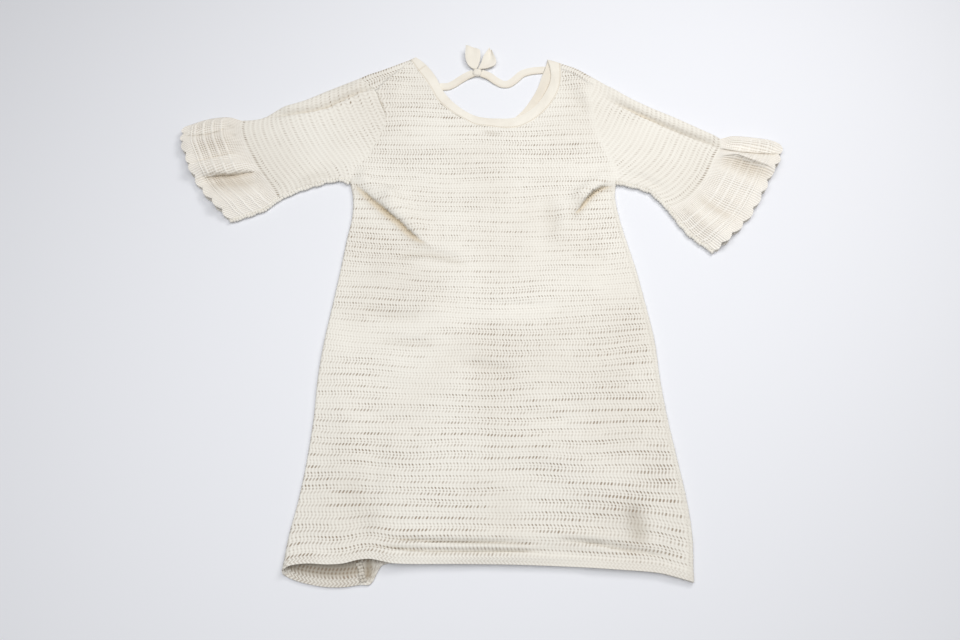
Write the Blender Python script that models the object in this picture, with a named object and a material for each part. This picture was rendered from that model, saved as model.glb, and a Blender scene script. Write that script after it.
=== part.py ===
"""Open-knit child's dress laid flat: body, bell cuffs, neck binding and a back-neck tie.

Metres, +Z up. X runs across the dress, +Y towards the neck, and Z = 0 is the surface it lies on.
The origin is on the underside of the back panel, in the middle of the skirt. The tables below are
in millimetres. Left and right are as seen from above, with the hem nearest.
"""

from collections import namedtuple

import bpy
import numpy as np

MM = 0.001

# Cloth and seams
WALL = 2.0
BAND_WALL = 2.6
BAND_WIDTH = 9.0
BINDING_WALL = 2.2
TIE_WALL = 1.8
TIE_WIDTH = 9.5
SEAM_GAP = 0.3
LOWER = WALL / 2
UPPER = 4.6
LEAST_UPPER = 3.7
RIM_HEIGHT = 2.3
EDGE_ROUND = 1.8
FOLD_ROUNDING = 0.7
FOLD_CREST_IN = 4.0
EDGE_TURNS = np.radians([0, 45, 90])
OPEN_STEPS = np.array([0, 0.5, 1])

# How finely the walls are divided
FINE_CELLS = 120
SIDE_CELLS = 60
SIDE_ROWS = 14
BAND_STEP = 1.2
ARMHOLE_CELLS = 9
SHOULDER_CELLS = 4
NECK_CELLS = 16
SLEEVE_ROWS = 6
CUFF_SEAM_CELLS = 9
CUFF_ROWS = np.array([0, 0.3, 0.6, 0.84, 1])
ROLL_CELLS = 4
CELLS_PER_SCALLOP = 4
BINDING_CELLS = 3
STRAP_CELLS = 16
STRAP_ACROSS = 2
TAIL_CELLS = 8
TAIL_ACROSS = 3
KNOT_TURNS = 14
KNOT_RINGS = 7
SHARP_ANGLE = 50
NECK_SPREAD = 12.0
ARMHOLE_PULL = 6
NECK_PULL = 16

# Outline of the body, from the hem up: distance along Y, left edge, right edge
Side = namedtuple("Side", "y left right")
SIDES = [
    Side(-275, -202.0, 219.0),
    Side(-240, -198.0, 220.0),
    Side(-200, -190.0, 216.5),
    Side(-160, -184.0, 210.0),
    Side(-115, -179.5, 202.5),
    Side(-70, -177.5, 197.0),
    Side(-25, -172.5, 193.5),
    Side(20, -165.0, 185.5),
    Side(60, -158.5, 177.5),
    Side(95, -153.5, 168.5),
    Side(125, -148.5, 161.5),
    Side(150, -148.5, 158.0),
    Side(171, -153.0, 160.0),
]
HEM_CORNER_RIGHT = (218, -286)

# Front hem from the left fold to the right seam, and the hem of the part rolled underneath
FRONT_HEM = [(-202, -275), (-193, -270), (-176, -268), (-156, -269), (-139, -268), (-125, -264.5),
             (-112, -263.5), (-98, -266), (-82, -268), (-24, -268), (30, -268.5), (90, -270.5),
             (140, -273.5), (180, -276.5), (200, -281), (218, -286)]
ROLLED_HEM = [(-202, -275), (-197, -280), (-186, -284.5), (-172, -288), (-155, -290.5), (-138, -290.5),
              (-120, -288)]
BACK_HEM = [(-119.7, -288), (-113, -288), (-108.5, -283), (-105, -275), (-99, -267.5), (-80, -266),
            (-24, -265), (30, -265.5), (90, -267.5), (140, -270.5), (180, -273.5), (202, -278.5),
            (217, -283)]

# How far the left side seam has rolled to the underside: distance along Y, roll
Roll = namedtuple("Roll", "y inset")
ROLLS = [Roll(-290, 82), Roll(-150, 60), Roll(-50, 36), Roll(40, 14), Roll(75, 8)]
ROLL_END = 76.0
ROLL_CLEARANCE = 3.4

# Armholes from the underarm to the shoulder tip
ARMHOLE_LEFT = [(-153, 171), (-149, 187), (-143, 194), (-134, 203), (-129, 213), (-122, 227), (-117, 240),
                (-113, 253), (-114, 266), (-120, 279), (-127, 294), (-134, 301), (-147, 313)]
ARMHOLE_RIGHT = [(160, 171), (162, 183), (158, 195), (153, 207), (148, 220), (143, 234), (139, 250),
                 (136.5, 267), (135, 284), (136.5, 299), (142, 312)]
SHOULDER_LEFT = [(-147, 313), (-118, 326), (-86, 340)]
SHOULDER_RIGHT = [(99.5, 335), (120, 326), (142, 312)]

# Necklines from left to right: where the panels end, and the free edge of the binding
NECK_FRONT = [(-86, 340), (-76, 323), (-67, 310), (-59, 296), (-51, 281), (-37, 267), (-20, 255.5),
              (-4, 247.5), (14, 245), (32, 244), (46, 245.5), (59, 251), (71, 259), (81, 269.5), (89, 281),
              (95, 293), (98.5, 307), (99.5, 321), (99.5, 335)]
NECK_HOLE_FRONT = [(-80, 344), (-71, 337), (-62, 327), (-53, 313), (-46, 297), (-35, 282), (-20, 268.5),
                   (-5, 260), (10, 257), (24, 256.5), (34, 256.5), (44, 258.5), (55, 264), (66, 273),
                   (75, 285), (83, 300), (87, 315), (86, 329), (83, 341)]
NECK_BACK = [(-86, 340), (-81.5, 329), (-74, 313), (-66.5, 296), (-57, 279), (-43, 261), (-24, 247.5),
             (-2, 240.5), (19, 239.5), (41, 244.5), (58, 258), (70, 276), (81, 295), (89, 313), (95, 326),
             (99.5, 335)]
NECK_HOLE_BACK = [(-80, 343.5), (-73, 333), (-65, 318), (-57, 301), (-48, 285), (-36, 270), (-20, 258),
                  (0, 251.5), (18, 250.5), (36, 255), (50, 267), (61, 282.5), (70, 299.5), (76, 317),
                  (81, 331), (83.5, 341)]

# Folds of the upper layer: start, end, half width, height (negative for a trough)
Fold = namedtuple("Fold", "x0 y0 x1 y1 width lift")
BODY_FOLDS = [
    Fold(-206, -292, -112, -280, 34, 9.0),
    Fold(-136, 176, -104, 152, 9, 4.5),
    Fold(-104, 152, -70, 112, 10, 4.0),
    Fold(-140, 166, -84, 112, 5, -2.5),
    Fold(146, 177, 118, 152, 9, 3.5),
    Fold(118, 152, 92, 104, 13, 3.0),
    Fold(150, 164, 112, 134, 6, -2.0),
    Fold(-108, 60, -20, 52, 15, 1.8),
    Fold(-60, 20, -20, -80, 26, 1.6),
    Fold(70, -150, 150, -205, 22, 2.2),
    Fold(-160, -40, -130, -170, 22, 2.0),
    Fold(-60, -240, 120, -242, 9, 1.8),
    Fold(-76, -276, -20, -274, 14, 1.6),
    Fold(120, -280, 190, -286, 16, 2.0),
    Fold(-134, 312, -100, 300, 10, 2.5),
    Fold(112, 318, 130, 290, 10, 2.5),
]
SLEEVE_FOLDS = [
    Fold(-152, 300, -232, 270, 8, 3.0),
    Fold(-150, 284, -236, 260, 5, -1.2),
    Fold(-160, 210, -228, 190, 20, 1.8),
    Fold(-200, 172, -230, 168, 8, 1.2),
    Fold(160, 292, 276, 230, 8, 3.2),
    Fold(166, 280, 276, 222, 5, -1.2),
    Fold(170, 200, 232, 178, 18, 1.8),
]
CUFF_FOLDS = [
    Fold(-360, 240, -300, 252, 8, 4.0),
    Fold(-344, 218, -306, 226, 10, 4.2),
    Fold(-346, 186, -272, 192, 8, 5.5),
    Fold(-336, 168, -266, 175, 6, -3.0),
    Fold(-312, 138, -258, 152, 11, 4.6),
    Fold(364, 220, 300, 226, 7, 4.0),
    Fold(346, 210, 292, 219, 5, -3.2),
    Fold(350, 184, 288, 208, 9, 5.6),
    Fold(326, 156, 276, 186, 9, 3.4),
    Fold(304, 118, 262, 156, 7, -2.6),
    Fold(284, 92, 242, 130, 10, 4.4),
]
CUFF_SWELL = 3.6
CUFF_SWELL_REACH = 18.0
CUFF_LENGTH = 60.0
CUFF_FOLD_START = 0.1
CUFF_FOLD_GROWTH = 2.5
SCALLOP_DEPTH = 4.0
HEM_DROOP_REACH = 90.0

# Binding and tie heights
BINDING_CROWN = 0.7
BINDING_DIP = 0.5
BINDING_RIM = 2.7
KNOT_RISE = 2.4
KNOT_APPROACH = 0.6
KNOT_GROOVE = 0.07
KNOT_GROOVE_TURN = 0.6
TAIL_CURL = 1.6

# Sleeve edges from the armhole to the cuff seam, cuff seams from the upper edge down, and cuff edges
SLEEVE_TOP_LEFT = [(-147, 313), (-184, 295), (-212, 281), (-240, 271), (-258, 259), (-272, 255), (-286, 254)]
SLEEVE_UNDER_LEFT = [(-153, 171), (-163, 175), (-177, 173.5), (-192, 169), (-214, 161), (-237, 149)]
CUFF_SEAM_LEFT = [(-286, 254), (-287, 243), (-284, 231), (-278, 217), (-270, 202), (-262, 188), (-251, 172),
                  (-242, 159), (-237, 149)]
CUFF_TOP_LEFT = [(-286, 254), (-303, 257.5), (-325, 255), (-342, 248), (-354, 242)]
CUFF_UNDER_LEFT = [(-237, 149), (-250, 137), (-271, 128), (-290, 121)]
SCALLOPS_LEFT = [(-356, 237), (-357, 227), (-354, 214), (-347, 197), (-341, 183), (-333, 168), (-321, 152),
                 (-307, 137), (-296, 126)]
SLEEVE_TOP_RIGHT = [(142, 312), (162, 298), (182, 284), (207, 270), (236, 256), (262, 242), (287, 229)]
SLEEVE_UNDER_RIGHT = [(160, 171), (179, 167), (199, 160), (210, 149), (220, 137)]
CUFF_SEAM_RIGHT = [(287, 229), (286, 217), (279, 204), (274, 193), (266, 177), (256, 163), (245, 151),
                   (233, 142), (220, 137)]
CUFF_TOP_RIGHT = [(287, 229), (303, 232), (331, 228.5), (346, 225), (357, 219)]
CUFF_UNDER_RIGHT = [(220, 137), (231, 119), (243, 103), (257, 91), (268, 82)]
SCALLOPS_RIGHT = [(359, 212), (354, 196), (344, 179), (335, 161), (325, 143), (314, 125), (300, 109),
                  (284, 93), (273, 84)]

# Tie of the back neck: straps along their middle lines, knot, and tails as left and right edges
STRAP_LEFT = [(-54, 302.3), (-47, 303), (-39, 303.5), (-32, 307), (-24, 313), (-16, 318), (-8.2, 321)]
STRAP_RIGHT = [(1.8, 321), (11, 317.5), (19, 311.5), (27, 307), (35, 307), (43, 313), (52, 321.5),
               (64, 325.5), (77.4, 327)]
KNOT_MIDDLE = (-3.2, 321.5, 3.6)
KNOT_HALF = (4.9, 5.0, 3.4)
TAIL_LEFT_EDGES = ([(-6.9, 326.6), (-15, 334), (-18, 345), (-17, 361)],
                   [(-4.0, 326.85), (-2.5, 340), (1, 351), (-9, 359)])
TAIL_RIGHT_EDGES = ([(-2.4, 326.85), (-0.5, 338), (5, 348), (11, 357)],
                    [(0.6, 326.5), (12, 329), (21, 337), (15, 353)])
TAIL_BASE_HEIGHT = 3.6
TAIL_TIP_HEIGHT = 9.0

Finish = namedtuple("Finish", "name colour roughness")
KNIT = Finish("open_knit", (0.87, 0.83, 0.73, 1.0), 0.9)
JERSEY = Finish("smooth_jersey", (0.86, 0.83, 0.75, 1.0), 0.82)


def clear_scene():
    """Remove what the scene holds."""
    for thing in list(bpy.data.objects):
        bpy.data.objects.remove(thing, do_unlink=True)


def finish_material(node, finish):
    """A material of one part, with the colour of its cloth."""
    material = bpy.data.materials.new(f"{finish.name}_{node}")
    material.use_nodes = True
    shader = material.node_tree.nodes["Principled BSDF"]
    shader.inputs["Base Color"].default_value = finish.colour
    shader.inputs["Roughness"].default_value = finish.roughness
    shader.inputs["Metallic"].default_value = 0.0
    material.diffuse_color = finish.colour
    return material


def smooth_line(points, cells):
    """A smooth line through the points, as cells + 1 points at equal steps of its length."""
    points = np.array(points, float)
    ends = np.vstack([2 * points[0] - points[1], points, 2 * points[-1] - points[-2]])
    steps = np.linspace(0, 1, 17)[:-1, None]
    fine = []
    for a, b, c, d in zip(ends, ends[1:], ends[2:], ends[3:]):
        fine.append(0.5 * (2 * b + (c - a) * steps + (2 * a - 5 * b + 4 * c - d) * steps**2
                           + (3 * b - a - 3 * c + d) * steps**3))
    fine = np.vstack([*fine, points[-1:]])
    length = np.concatenate([[0], np.cumsum(np.hypot(*np.diff(fine, axis=0).T))])
    places = np.linspace(0, length[-1], cells + 1)
    return np.column_stack([np.interp(places, length, axis) for axis in fine.T])


def along(line, fractions):
    """Points on a line of equal cells, at fractions from 0 to 1 of its cells."""
    places = np.linspace(0, 1, len(line))
    return np.column_stack([np.interp(fractions, places, axis) for axis in line.T])


def line_length(line):
    """Length of a line."""
    return float(np.hypot(*np.diff(line, axis=0).T).sum())


def beside(line, distance):
    """The line moved sideways, to the left of its direction."""
    ahead = np.gradient(line, axis=0)
    ahead /= np.hypot(ahead[:, 0], ahead[:, 1])[:, None]
    return line + distance * np.column_stack([-ahead[:, 1], ahead[:, 0]])


def distance_to(x, y, line):
    """Distance of every point from a line."""
    nearest = np.full(np.shape(x), np.inf)
    for (ax, ay), (bx, by) in zip(line, line[1:]):
        dx, dy = bx - ax, by - ay
        share = np.clip(((x - ax) * dx + (y - ay) * dy) / (dx * dx + dy * dy), 0, 1)
        nearest = np.minimum(nearest, np.hypot(x - ax - share * dx, y - ay - share * dy))
    return nearest


def patch(bottom, top, left, right, across, up):
    """Points of a four-sided patch between four lines, as rows of (x, y)."""
    u = across[None, :, None]
    v = up[:, None, None]
    sides = (1 - u) * left[:, None] + u * right[:, None]
    ends = (1 - v) * bottom[None] + v * top[None]
    corners = (1 - v) * ((1 - u) * bottom[0] + u * bottom[-1]) + v * ((1 - u) * top[0] + u * top[-1])
    return sides + ends - corners


def fold_height(x, y, folds):
    """Height that the folds add to a layer."""
    height = np.zeros(np.shape(x))
    for fold in folds:
        line = ((fold.x0, fold.y0), (fold.x1, fold.y1))
        height += fold.lift * np.exp(-(distance_to(x, y, line) / fold.width)**2)
    return height


def upper_height(x, y):
    """Middle of the upper layer's wall, over the whole dress."""
    return np.maximum(UPPER + fold_height(x, y, BODY_FOLDS + SLEEVE_FOLDS), LEAST_UPPER)


def merged(*parts):
    """Sorted fractions of several lists, each once."""
    return np.unique(np.round(np.concatenate(parts), 6))


# A plan of points, how far each has risen over a closed edge, and which way its wall leans there
Sheet = namedtuple("Sheet", "plan rise lean")


def flat_sheet(plan):
    """A sheet with no closed edge."""
    return Sheet(plan, np.ones(plan.shape[:2]), np.zeros(plan.shape))


def flipped(sheet):
    """The sheet with its columns in the other order."""
    return Sheet(*(np.flip(values, axis=1) for values in sheet))


def turned(sheet):
    """The sheet with its rows as columns."""
    return Sheet(*(np.swapaxes(values, 0, 1) for values in sheet))


def inward_of(plan):
    """Direction from the first column of a plan towards its second."""
    inward = plan[:, 1] - plan[:, 0]
    return inward / np.hypot(inward[:, 0], inward[:, 1])[:, None]


def round_edge(sheet, closed, reach=EDGE_ROUND):
    """Make three columns of the first one, which turn over the edge where it is closed."""
    inward = inward_of(sheet.plan)[:, None]
    closed = np.broadcast_to(closed, len(sheet.plan))[:, None]
    reach = np.broadcast_to(reach, len(sheet.plan))[:, None]
    rounded = WALL / 2 + reach * (1 - np.cos(EDGE_TURNS))
    depth = np.where(closed, rounded, OPEN_STEPS * (WALL / 2 + reach))[..., None]
    plan = sheet.plan[:, :1] + inward * depth
    rise = np.where(closed, np.sin(EDGE_TURNS), 1.0) * sheet.rise[:, :1]
    lean = np.where(closed[..., None], -inward * np.cos(EDGE_TURNS)[:, None], sheet.lean[:, :1])
    parts = ((plan, sheet.plan), (rise, sheet.rise), (lean, sheet.lean))
    return Sheet(*(np.concatenate([edge, old[:, 1:]], axis=1) for edge, old in parts))


def upright(lean, sign=1.0):
    """Full directions of a wall that leans."""
    up = np.sqrt(np.clip(1 - (lean**2).sum(-1), 0, 1))
    return np.dstack([lean, sign * up])


def grid_faces(rows, columns, closed=False):
    """Four-sided faces of a grid of points, closed round its columns for a tube."""
    faces = []
    for row in range(rows - 1):
        for column in range(columns if closed else columns - 1):
            after = (column + 1) % columns
            faces.append((row * columns + column, row * columns + after,
                          (row + 1) * columns + after, (row + 1) * columns + column))
    return faces


def cloth(node, middle, lean, faces, finish, half=WALL / 2):
    """A closed wall of cloth. Its faces go half a wall out and in from the middle, joined by a rim."""
    middle, lean = np.reshape(middle, (-1, 3)), np.reshape(lean, (-1, 3))
    half = np.broadcast_to(half, len(middle))[:, None]
    count = len(middle)
    points = np.vstack([middle + lean * half, middle - lean * half]) * MM
    edges = {(a, b) for face in faces for a, b in zip(face, face[1:] + face[:1])}
    inside = [tuple(corner + count for corner in reversed(face)) for face in faces]
    rim = [(b, a, a + count, b + count) for a, b in sorted(edges) if (b, a) not in edges]
    add_part(node, points, faces + inside + rim, finish)


def add_part(node, points, faces, finish):
    """Add a node made of these points and faces, shaded smooth but for its rims."""
    mesh = bpy.data.meshes.new(node)
    mesh.from_pydata([tuple(point) for point in points], [], faces)
    mesh.materials.append(finish_material(node, finish))
    mesh.shade_smooth()
    mesh.set_sharp_from_angle(angle=np.radians(SHARP_ANGLE))
    bpy.context.collection.objects.link(bpy.data.objects.new(node, mesh))


def side_lines():
    """Left and right edges of the body from the hem to the underarm."""
    left = smooth_line([(side.left, side.y) for side in SIDES], SIDE_CELLS)
    right = smooth_line([HEM_CORNER_RIGHT] + [(side.right, side.y) for side in SIDES[1:]], SIDE_CELLS)
    return left, right


def side_fractions():
    """Fractions of the side edges where the body's rows are, from the hem band up."""
    left, _ = side_lines()
    band = np.array([0.0, BAND_WIDTH, BAND_WIDTH + BAND_STEP]) / line_length(left)
    return merged(band, np.linspace(band[-1] * 2, 1, SIDE_ROWS))


def armholes():
    """Both armholes from the underarm up, as lines that the body and the sleeves share."""
    return smooth_line(ARMHOLE_LEFT, ARMHOLE_CELLS), smooth_line(ARMHOLE_RIGHT, ARMHOLE_CELLS)


def body_plan(left_side, right_side, hem, neck):
    """Plan of a body panel between its sides, its armholes, its hem and its shoulders and neckline."""
    arm_left, arm_right = armholes()
    left = np.vstack([left_side[:-1], beside(arm_left, -SEAM_GAP / 2)])
    right = np.vstack([right_side[:-1], beside(arm_right, SEAM_GAP / 2)])
    steps = np.linspace(0, 1, SHOULDER_CELLS + 1)
    rise = (neck[:, 1] - neck[:, 1].min()) / np.ptp(neck[:, 1])
    spread = neck[:, 0] + NECK_SPREAD * rise**2 * np.sign(neck[:, 0] - neck[np.argmin(rise), 0])
    over_neck = (spread - left[-1, 0]) / (right[-1, 0] - left[-1, 0])
    across = np.concatenate([steps * over_neck[0], over_neck[1:-1], 1 - steps[::-1] * (1 - over_neck[-1])])
    shoulders = [along(smooth_line(line, FINE_CELLS), steps) for line in (SHOULDER_LEFT, SHOULDER_RIGHT)]
    top = np.vstack([shoulders[0], neck[1:-1], shoulders[1]])
    top[0], top[-1] = left[-1], right[-1]
    hem_line = smooth_line(hem, FINE_CELLS)
    bottom_x = left[0, 0] + (right[0, 0] - left[0, 0]) * across
    bottom = np.column_stack([bottom_x, np.interp(bottom_x, hem_line[:, 0], hem_line[:, 1])])
    up = (left[:, 1] - left[0, 1]) / np.ptp(left[:, 1])
    plan = patch(bottom, top, left, right, across, up**2)

    straight = []
    for side in (left, right):
        line = side[:, 0].copy()
        arm = slice(len(left_side) - 1, None)
        line[arm] = np.interp(side[arm, 1], side[[arm.start, -1], 1], side[[arm.start, -1], 0])
        straight.append(line[:, None])
    x = (1 - across) * straight[0] + across * straight[1]
    x += (1 - across)**ARMHOLE_PULL * (left[:, :1] - straight[0])
    x += across**ARMHOLE_PULL * (right[:, :1] - straight[1])
    plan[..., 0] = x + up[:, None]**NECK_PULL * (top[:, 0] - x[-1])
    return plan


def band_half(rows, columns):
    """Half thickness of a panel's wall at each point, more in the hem band."""
    half = np.full((rows, columns), WALL / 2)
    half[:2] = BAND_WALL / 2
    return half


def roll_inset(y):
    """How far the left seam has rolled under at a height along Y."""
    return np.interp(y, [roll.y for roll in ROLLS], [roll.inset for roll in ROLLS])


def front_panel():
    """Front panel: the whole upper layer of the body, rolled round the left fold to its seam."""
    sides = side_fractions()
    left_side, right_side = (along(line, sides) for line in side_lines())
    plan = body_plan(left_side, right_side, FRONT_HEM, smooth_line(NECK_FRONT, NECK_CELLS))
    rows = len(plan)
    is_side = np.arange(rows) < len(sides)
    rolled = is_side & (plan[:, 0, 1] < ROLL_END)
    fold_crest = upper_height(plan[:, 0, 0] + FOLD_CREST_IN, plan[:, 0, 1])
    reach = np.where(rolled, EDGE_ROUND + FOLD_ROUNDING * (fold_crest - UPPER), EDGE_ROUND)
    sheet = flipped(round_edge(flipped(round_edge(flat_sheet(plan), is_side, reach)), is_side))
    shoulder = np.ones(sheet.plan.shape[1], bool)
    first_neck = SHOULDER_CELLS + len(EDGE_TURNS)
    shoulder[first_neck:-first_neck] = False
    sheet = turned(flipped(round_edge(flipped(turned(sheet)), shoulder)))
    rows, columns = sheet.plan.shape[:2]
    x, y = sheet.plan[..., 0], sheet.plan[..., 1]
    half = band_half(rows, columns)
    extra = half - WALL / 2
    crest = upper_height(x, y) + extra
    crest[:, :2] = crest[:, 2:3]
    middle = (crest[:, :1] + half[:, :1]) / 2
    low = np.full((rows, columns), RIM_HEIGHT) + 2 * extra
    under_rows = int(np.count_nonzero(rolled))
    low[:under_rows, :3] = middle[:under_rows]
    z = low + (crest - low) * sheet.rise
    points = np.dstack([sheet.plan, z])

    reach = reach[:under_rows, None]
    inset = roll_inset(y[:under_rows, :1])
    turns = -EDGE_TURNS[1:]
    bend = reach + WALL / 2
    out = np.concatenate([WALL / 2 + reach * (1 - np.cos(turns)),
                          bend + (inset - bend) * np.linspace(0, 1, ROLL_CELLS + 1)[1:]], axis=1)
    sink = np.concatenate([-np.sin(turns), np.ones(ROLL_CELLS)])
    hem = smooth_line(ROLLED_HEM, FINE_CELLS)
    under_x = x[:under_rows, :1] + out - WALL / 2
    droop = np.interp(x[0, 0] + out[0], hem[:, 0], hem[:, 1]) - y[0, 0]
    fade = np.clip(1 - (y[:under_rows, :1] - y[0, 0]) / HEM_DROOP_REACH, 0, 1)**2
    under_y = y[:under_rows, :1] + droop * fade
    floor = half[:under_rows, :1]
    under_z = middle[:under_rows] - (middle[:under_rows] - floor) * sink
    under_points = np.dstack([under_x, under_y, under_z])
    lean_x = np.broadcast_to(-np.sqrt(1 - sink**2), under_x.shape)
    under_lean = np.dstack([lean_x, 0 * lean_x, np.broadcast_to(-sink, under_x.shape)])
    first, width = rows * columns, under_x.shape[1]

    def under_index(row, column):
        """Number of a point of the rolled part, whose column -1 is the fold itself."""
        return row * columns if column < 0 else first + row * width + column

    faces = grid_faces(rows, columns)
    for row in range(under_rows):
        for column in range(-1, width - 1):
            start = (under_index(row, column + 1), under_index(row, column))
            if row + 1 < under_rows:
                faces.append(start + (under_index(row + 1, column), under_index(row + 1, column + 1)))
            else:
                faces.append(start + (under_rows * columns,))
    middle_points = np.vstack([points.reshape(-1, 3), under_points.reshape(-1, 3)])
    leans = np.vstack([upright(sheet.lean).reshape(-1, 3), under_lean.reshape(-1, 3)])
    halves = np.concatenate([half.ravel(), half[:under_rows, :1].repeat(width, axis=1).ravel()])
    cloth("front_panel", middle_points, leans, faces, KNIT, halves)
    return under_points[:, -1, :2]


def back_panel(seam):
    """Back panel: flat on the surface, from the rolled seam at the left to the right seam."""
    sides = side_fractions()
    left_side, right_side = (along(line, sides) for line in side_lines())
    left_side[:len(seam)] = seam + (SEAM_GAP, 0)
    left_side[len(seam), 0] += ROLL_CLEARANCE
    plan = body_plan(left_side, right_side, BACK_HEM, smooth_line(NECK_BACK, NECK_CELLS))
    half = band_half(*plan.shape[:2])
    points = np.dstack([plan, half])
    faces = grid_faces(*plan.shape[:2])
    cloth("back_panel", points, upright(np.zeros(plan.shape)), faces, KNIT, half.ravel())


def tube(node, plan, crest, side):
    """A flattened tube over a plan: its upper layer, and its lower layer flat on the surface."""
    sheet = flipped(round_edge(flipped(round_edge(flat_sheet(plan), True)), True))
    height = crest(sheet.plan[..., 0], sheet.plan[..., 1])
    middle = (height + LOWER) / 2
    over = np.dstack([sheet.plan, middle + (height - middle) * sheet.rise])
    below = np.dstack([sheet.plan, middle - (middle - LOWER) * sheet.rise])
    points = np.concatenate([over, below[:, -2:0:-1]], axis=1)
    lean = np.concatenate([upright(sheet.lean), upright(sheet.lean, -1.0)[:, -2:0:-1]], axis=1)
    faces = grid_faces(*points.shape[:2], closed=True)
    if side < 0:
        faces = [face[::-1] for face in faces]
    cloth(node, points, lean, faces, KNIT)


def sleeve(node, armhole, top_edge, under_edge, cuff_seam, side):
    """A sleeve: a flattened tube from the armhole to the cuff seam. side is -1 at the left."""
    across = np.linspace(0, 1, ARMHOLE_CELLS + 1)
    start = beside(armhole, -side * SEAM_GAP / 2)[::-1]
    end = beside(smooth_line(cuff_seam, CUFF_SEAM_CELLS), -side * SEAM_GAP / 2)
    upper_edge, lower_edge = smooth_line(top_edge, SLEEVE_ROWS), smooth_line(under_edge, SLEEVE_ROWS)
    upper_edge[0], upper_edge[-1] = start[0], end[0]
    lower_edge[0], lower_edge[-1] = start[-1], end[-1]
    plan = patch(start, end, upper_edge, lower_edge, across, np.linspace(0, 1, SLEEVE_ROWS + 1))
    tube(node, plan, upper_height, side)


def cuff(node, cuff_seam, top_edge, under_edge, scallops, side):
    """A bell cuff: a waved tube from the cuff seam to its scalloped edge."""
    outline = smooth_line([top_edge[-1], *scallops, under_edge[-1]], FINE_CELLS)
    tips = [int(np.argmin(np.hypot(*(outline - tip).T))) / FINE_CELLS for tip in scallops]
    count = len(scallops)
    across = np.linspace(0, 1, count * CELLS_PER_SCALLOP + 1)
    phase = np.interp(across, [0, *tips, 1], [0, *(np.arange(count) + 0.5), count])
    lobes = SCALLOP_DEPTH * (np.abs(np.sin(np.pi * phase)) - 1)
    start = along(beside(smooth_line(cuff_seam, CUFF_SEAM_CELLS), side * SEAM_GAP / 2), across)
    end = along(outline, across)
    upper_edge = along(smooth_line(top_edge, FINE_CELLS), CUFF_ROWS)
    lower_edge = along(smooth_line(under_edge, FINE_CELLS), CUFF_ROWS)
    upper_edge[0], upper_edge[-1] = start[0], end[0]
    lower_edge[0], lower_edge[-1] = start[-1], end[-1]
    plan = patch(start, end, upper_edge, lower_edge, across, CUFF_ROWS)
    outward = plan[-1] - plan[-3]
    plan[-1] += outward / np.hypot(outward[:, 0], outward[:, 1])[:, None] * lobes[:, None]

    def cuff_crest(x, y):
        """The cuff swells away from its seam and its two edges, and its folds add to that."""
        from_seam = np.clip(distance_to(x, y, start) / CUFF_LENGTH, 0, 1)
        from_edges = np.minimum(distance_to(x, y, upper_edge), distance_to(x, y, lower_edge))
        swell = CUFF_SWELL * from_seam * np.clip(from_edges / CUFF_SWELL_REACH, 0, 1)
        grown = np.clip(CUFF_FOLD_START + CUFF_FOLD_GROWTH * from_seam, 0, 1)
        folds = fold_height(x, y, CUFF_FOLDS) * grown
        return np.maximum(upper_height(x, y) + swell + folds, LEAST_UPPER)

    tube(node, plan, cuff_crest, side)


def strip(node, left, right, cells, height, finish, wall, closed_ends=False):
    """A flat strip between two edges. height gives the middle of its wall over a plan."""
    shares = np.linspace(0, 1, cells + 1)[None, :, None]
    sheet = flat_sheet(left[:, None] * (1 - shares) + right[:, None] * shares)
    if closed_ends:
        sheet = turned(flipped(round_edge(flipped(round_edge(turned(sheet), True)), True)))
    points = np.dstack([sheet.plan, height(sheet)])
    faces = grid_faces(*points.shape[:2])
    cloth(node, points, upright(sheet.lean), faces, finish, wall / 2)


def across_share(sheet):
    """Fraction across a strip at each of its points."""
    rows, columns = sheet.rise.shape
    return np.broadcast_to(np.linspace(0, 1, columns), (rows, columns))


def along_share(sheet):
    """Fraction along a strip at each of its points."""
    middle = sheet.plan.mean(axis=1)
    length = np.concatenate([[0], np.cumsum(np.hypot(*np.diff(middle, axis=0).T))])
    return np.broadcast_to((length / length[-1])[:, None], sheet.rise.shape)


def front_binding_height(sheet):
    """The front binding is crowned, lower at the hole, and turns down at the shoulders."""
    share = across_share(sheet)
    crest = upper_height(sheet.plan[..., 0], sheet.plan[..., 1]) + BINDING_CROWN * (1 - (2 * share - 1)**2)
    crest -= BINDING_DIP * (1 - share)
    return BINDING_RIM + (crest - BINDING_RIM) * sheet.rise


def back_binding_height(sheet):
    """The back binding lies flat on the surface."""
    return np.full(sheet.rise.shape, BINDING_WALL / 2)


def neck_bindings():
    """The smooth binding of the neck: its front over its back."""
    front_outer = beside(smooth_line(NECK_FRONT, NECK_CELLS), SEAM_GAP)
    front_hole = smooth_line(NECK_HOLE_FRONT, NECK_CELLS)
    strip("neck_binding_front", front_hole, front_outer, BINDING_CELLS, front_binding_height, JERSEY,
          BINDING_WALL, closed_ends=True)
    back_outer = beside(smooth_line(NECK_BACK, NECK_CELLS), SEAM_GAP)
    back_hole = smooth_line(NECK_HOLE_BACK, NECK_CELLS)
    strip("neck_binding_back", back_hole, back_outer, BINDING_CELLS, back_binding_height, JERSEY,
          BINDING_WALL)


def hole_edge(y, half):
    """Where the free edge of the back binding is at a height along Y, on its left or right half."""
    line = smooth_line(NECK_HOLE_BACK, NECK_CELLS)
    lowest = int(np.argmin(line[:, 1]))
    part = line[:lowest + 1][::-1] if half < 0 else line[lowest:]
    return np.interp(y, part[:, 1], part[:, 0])


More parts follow.
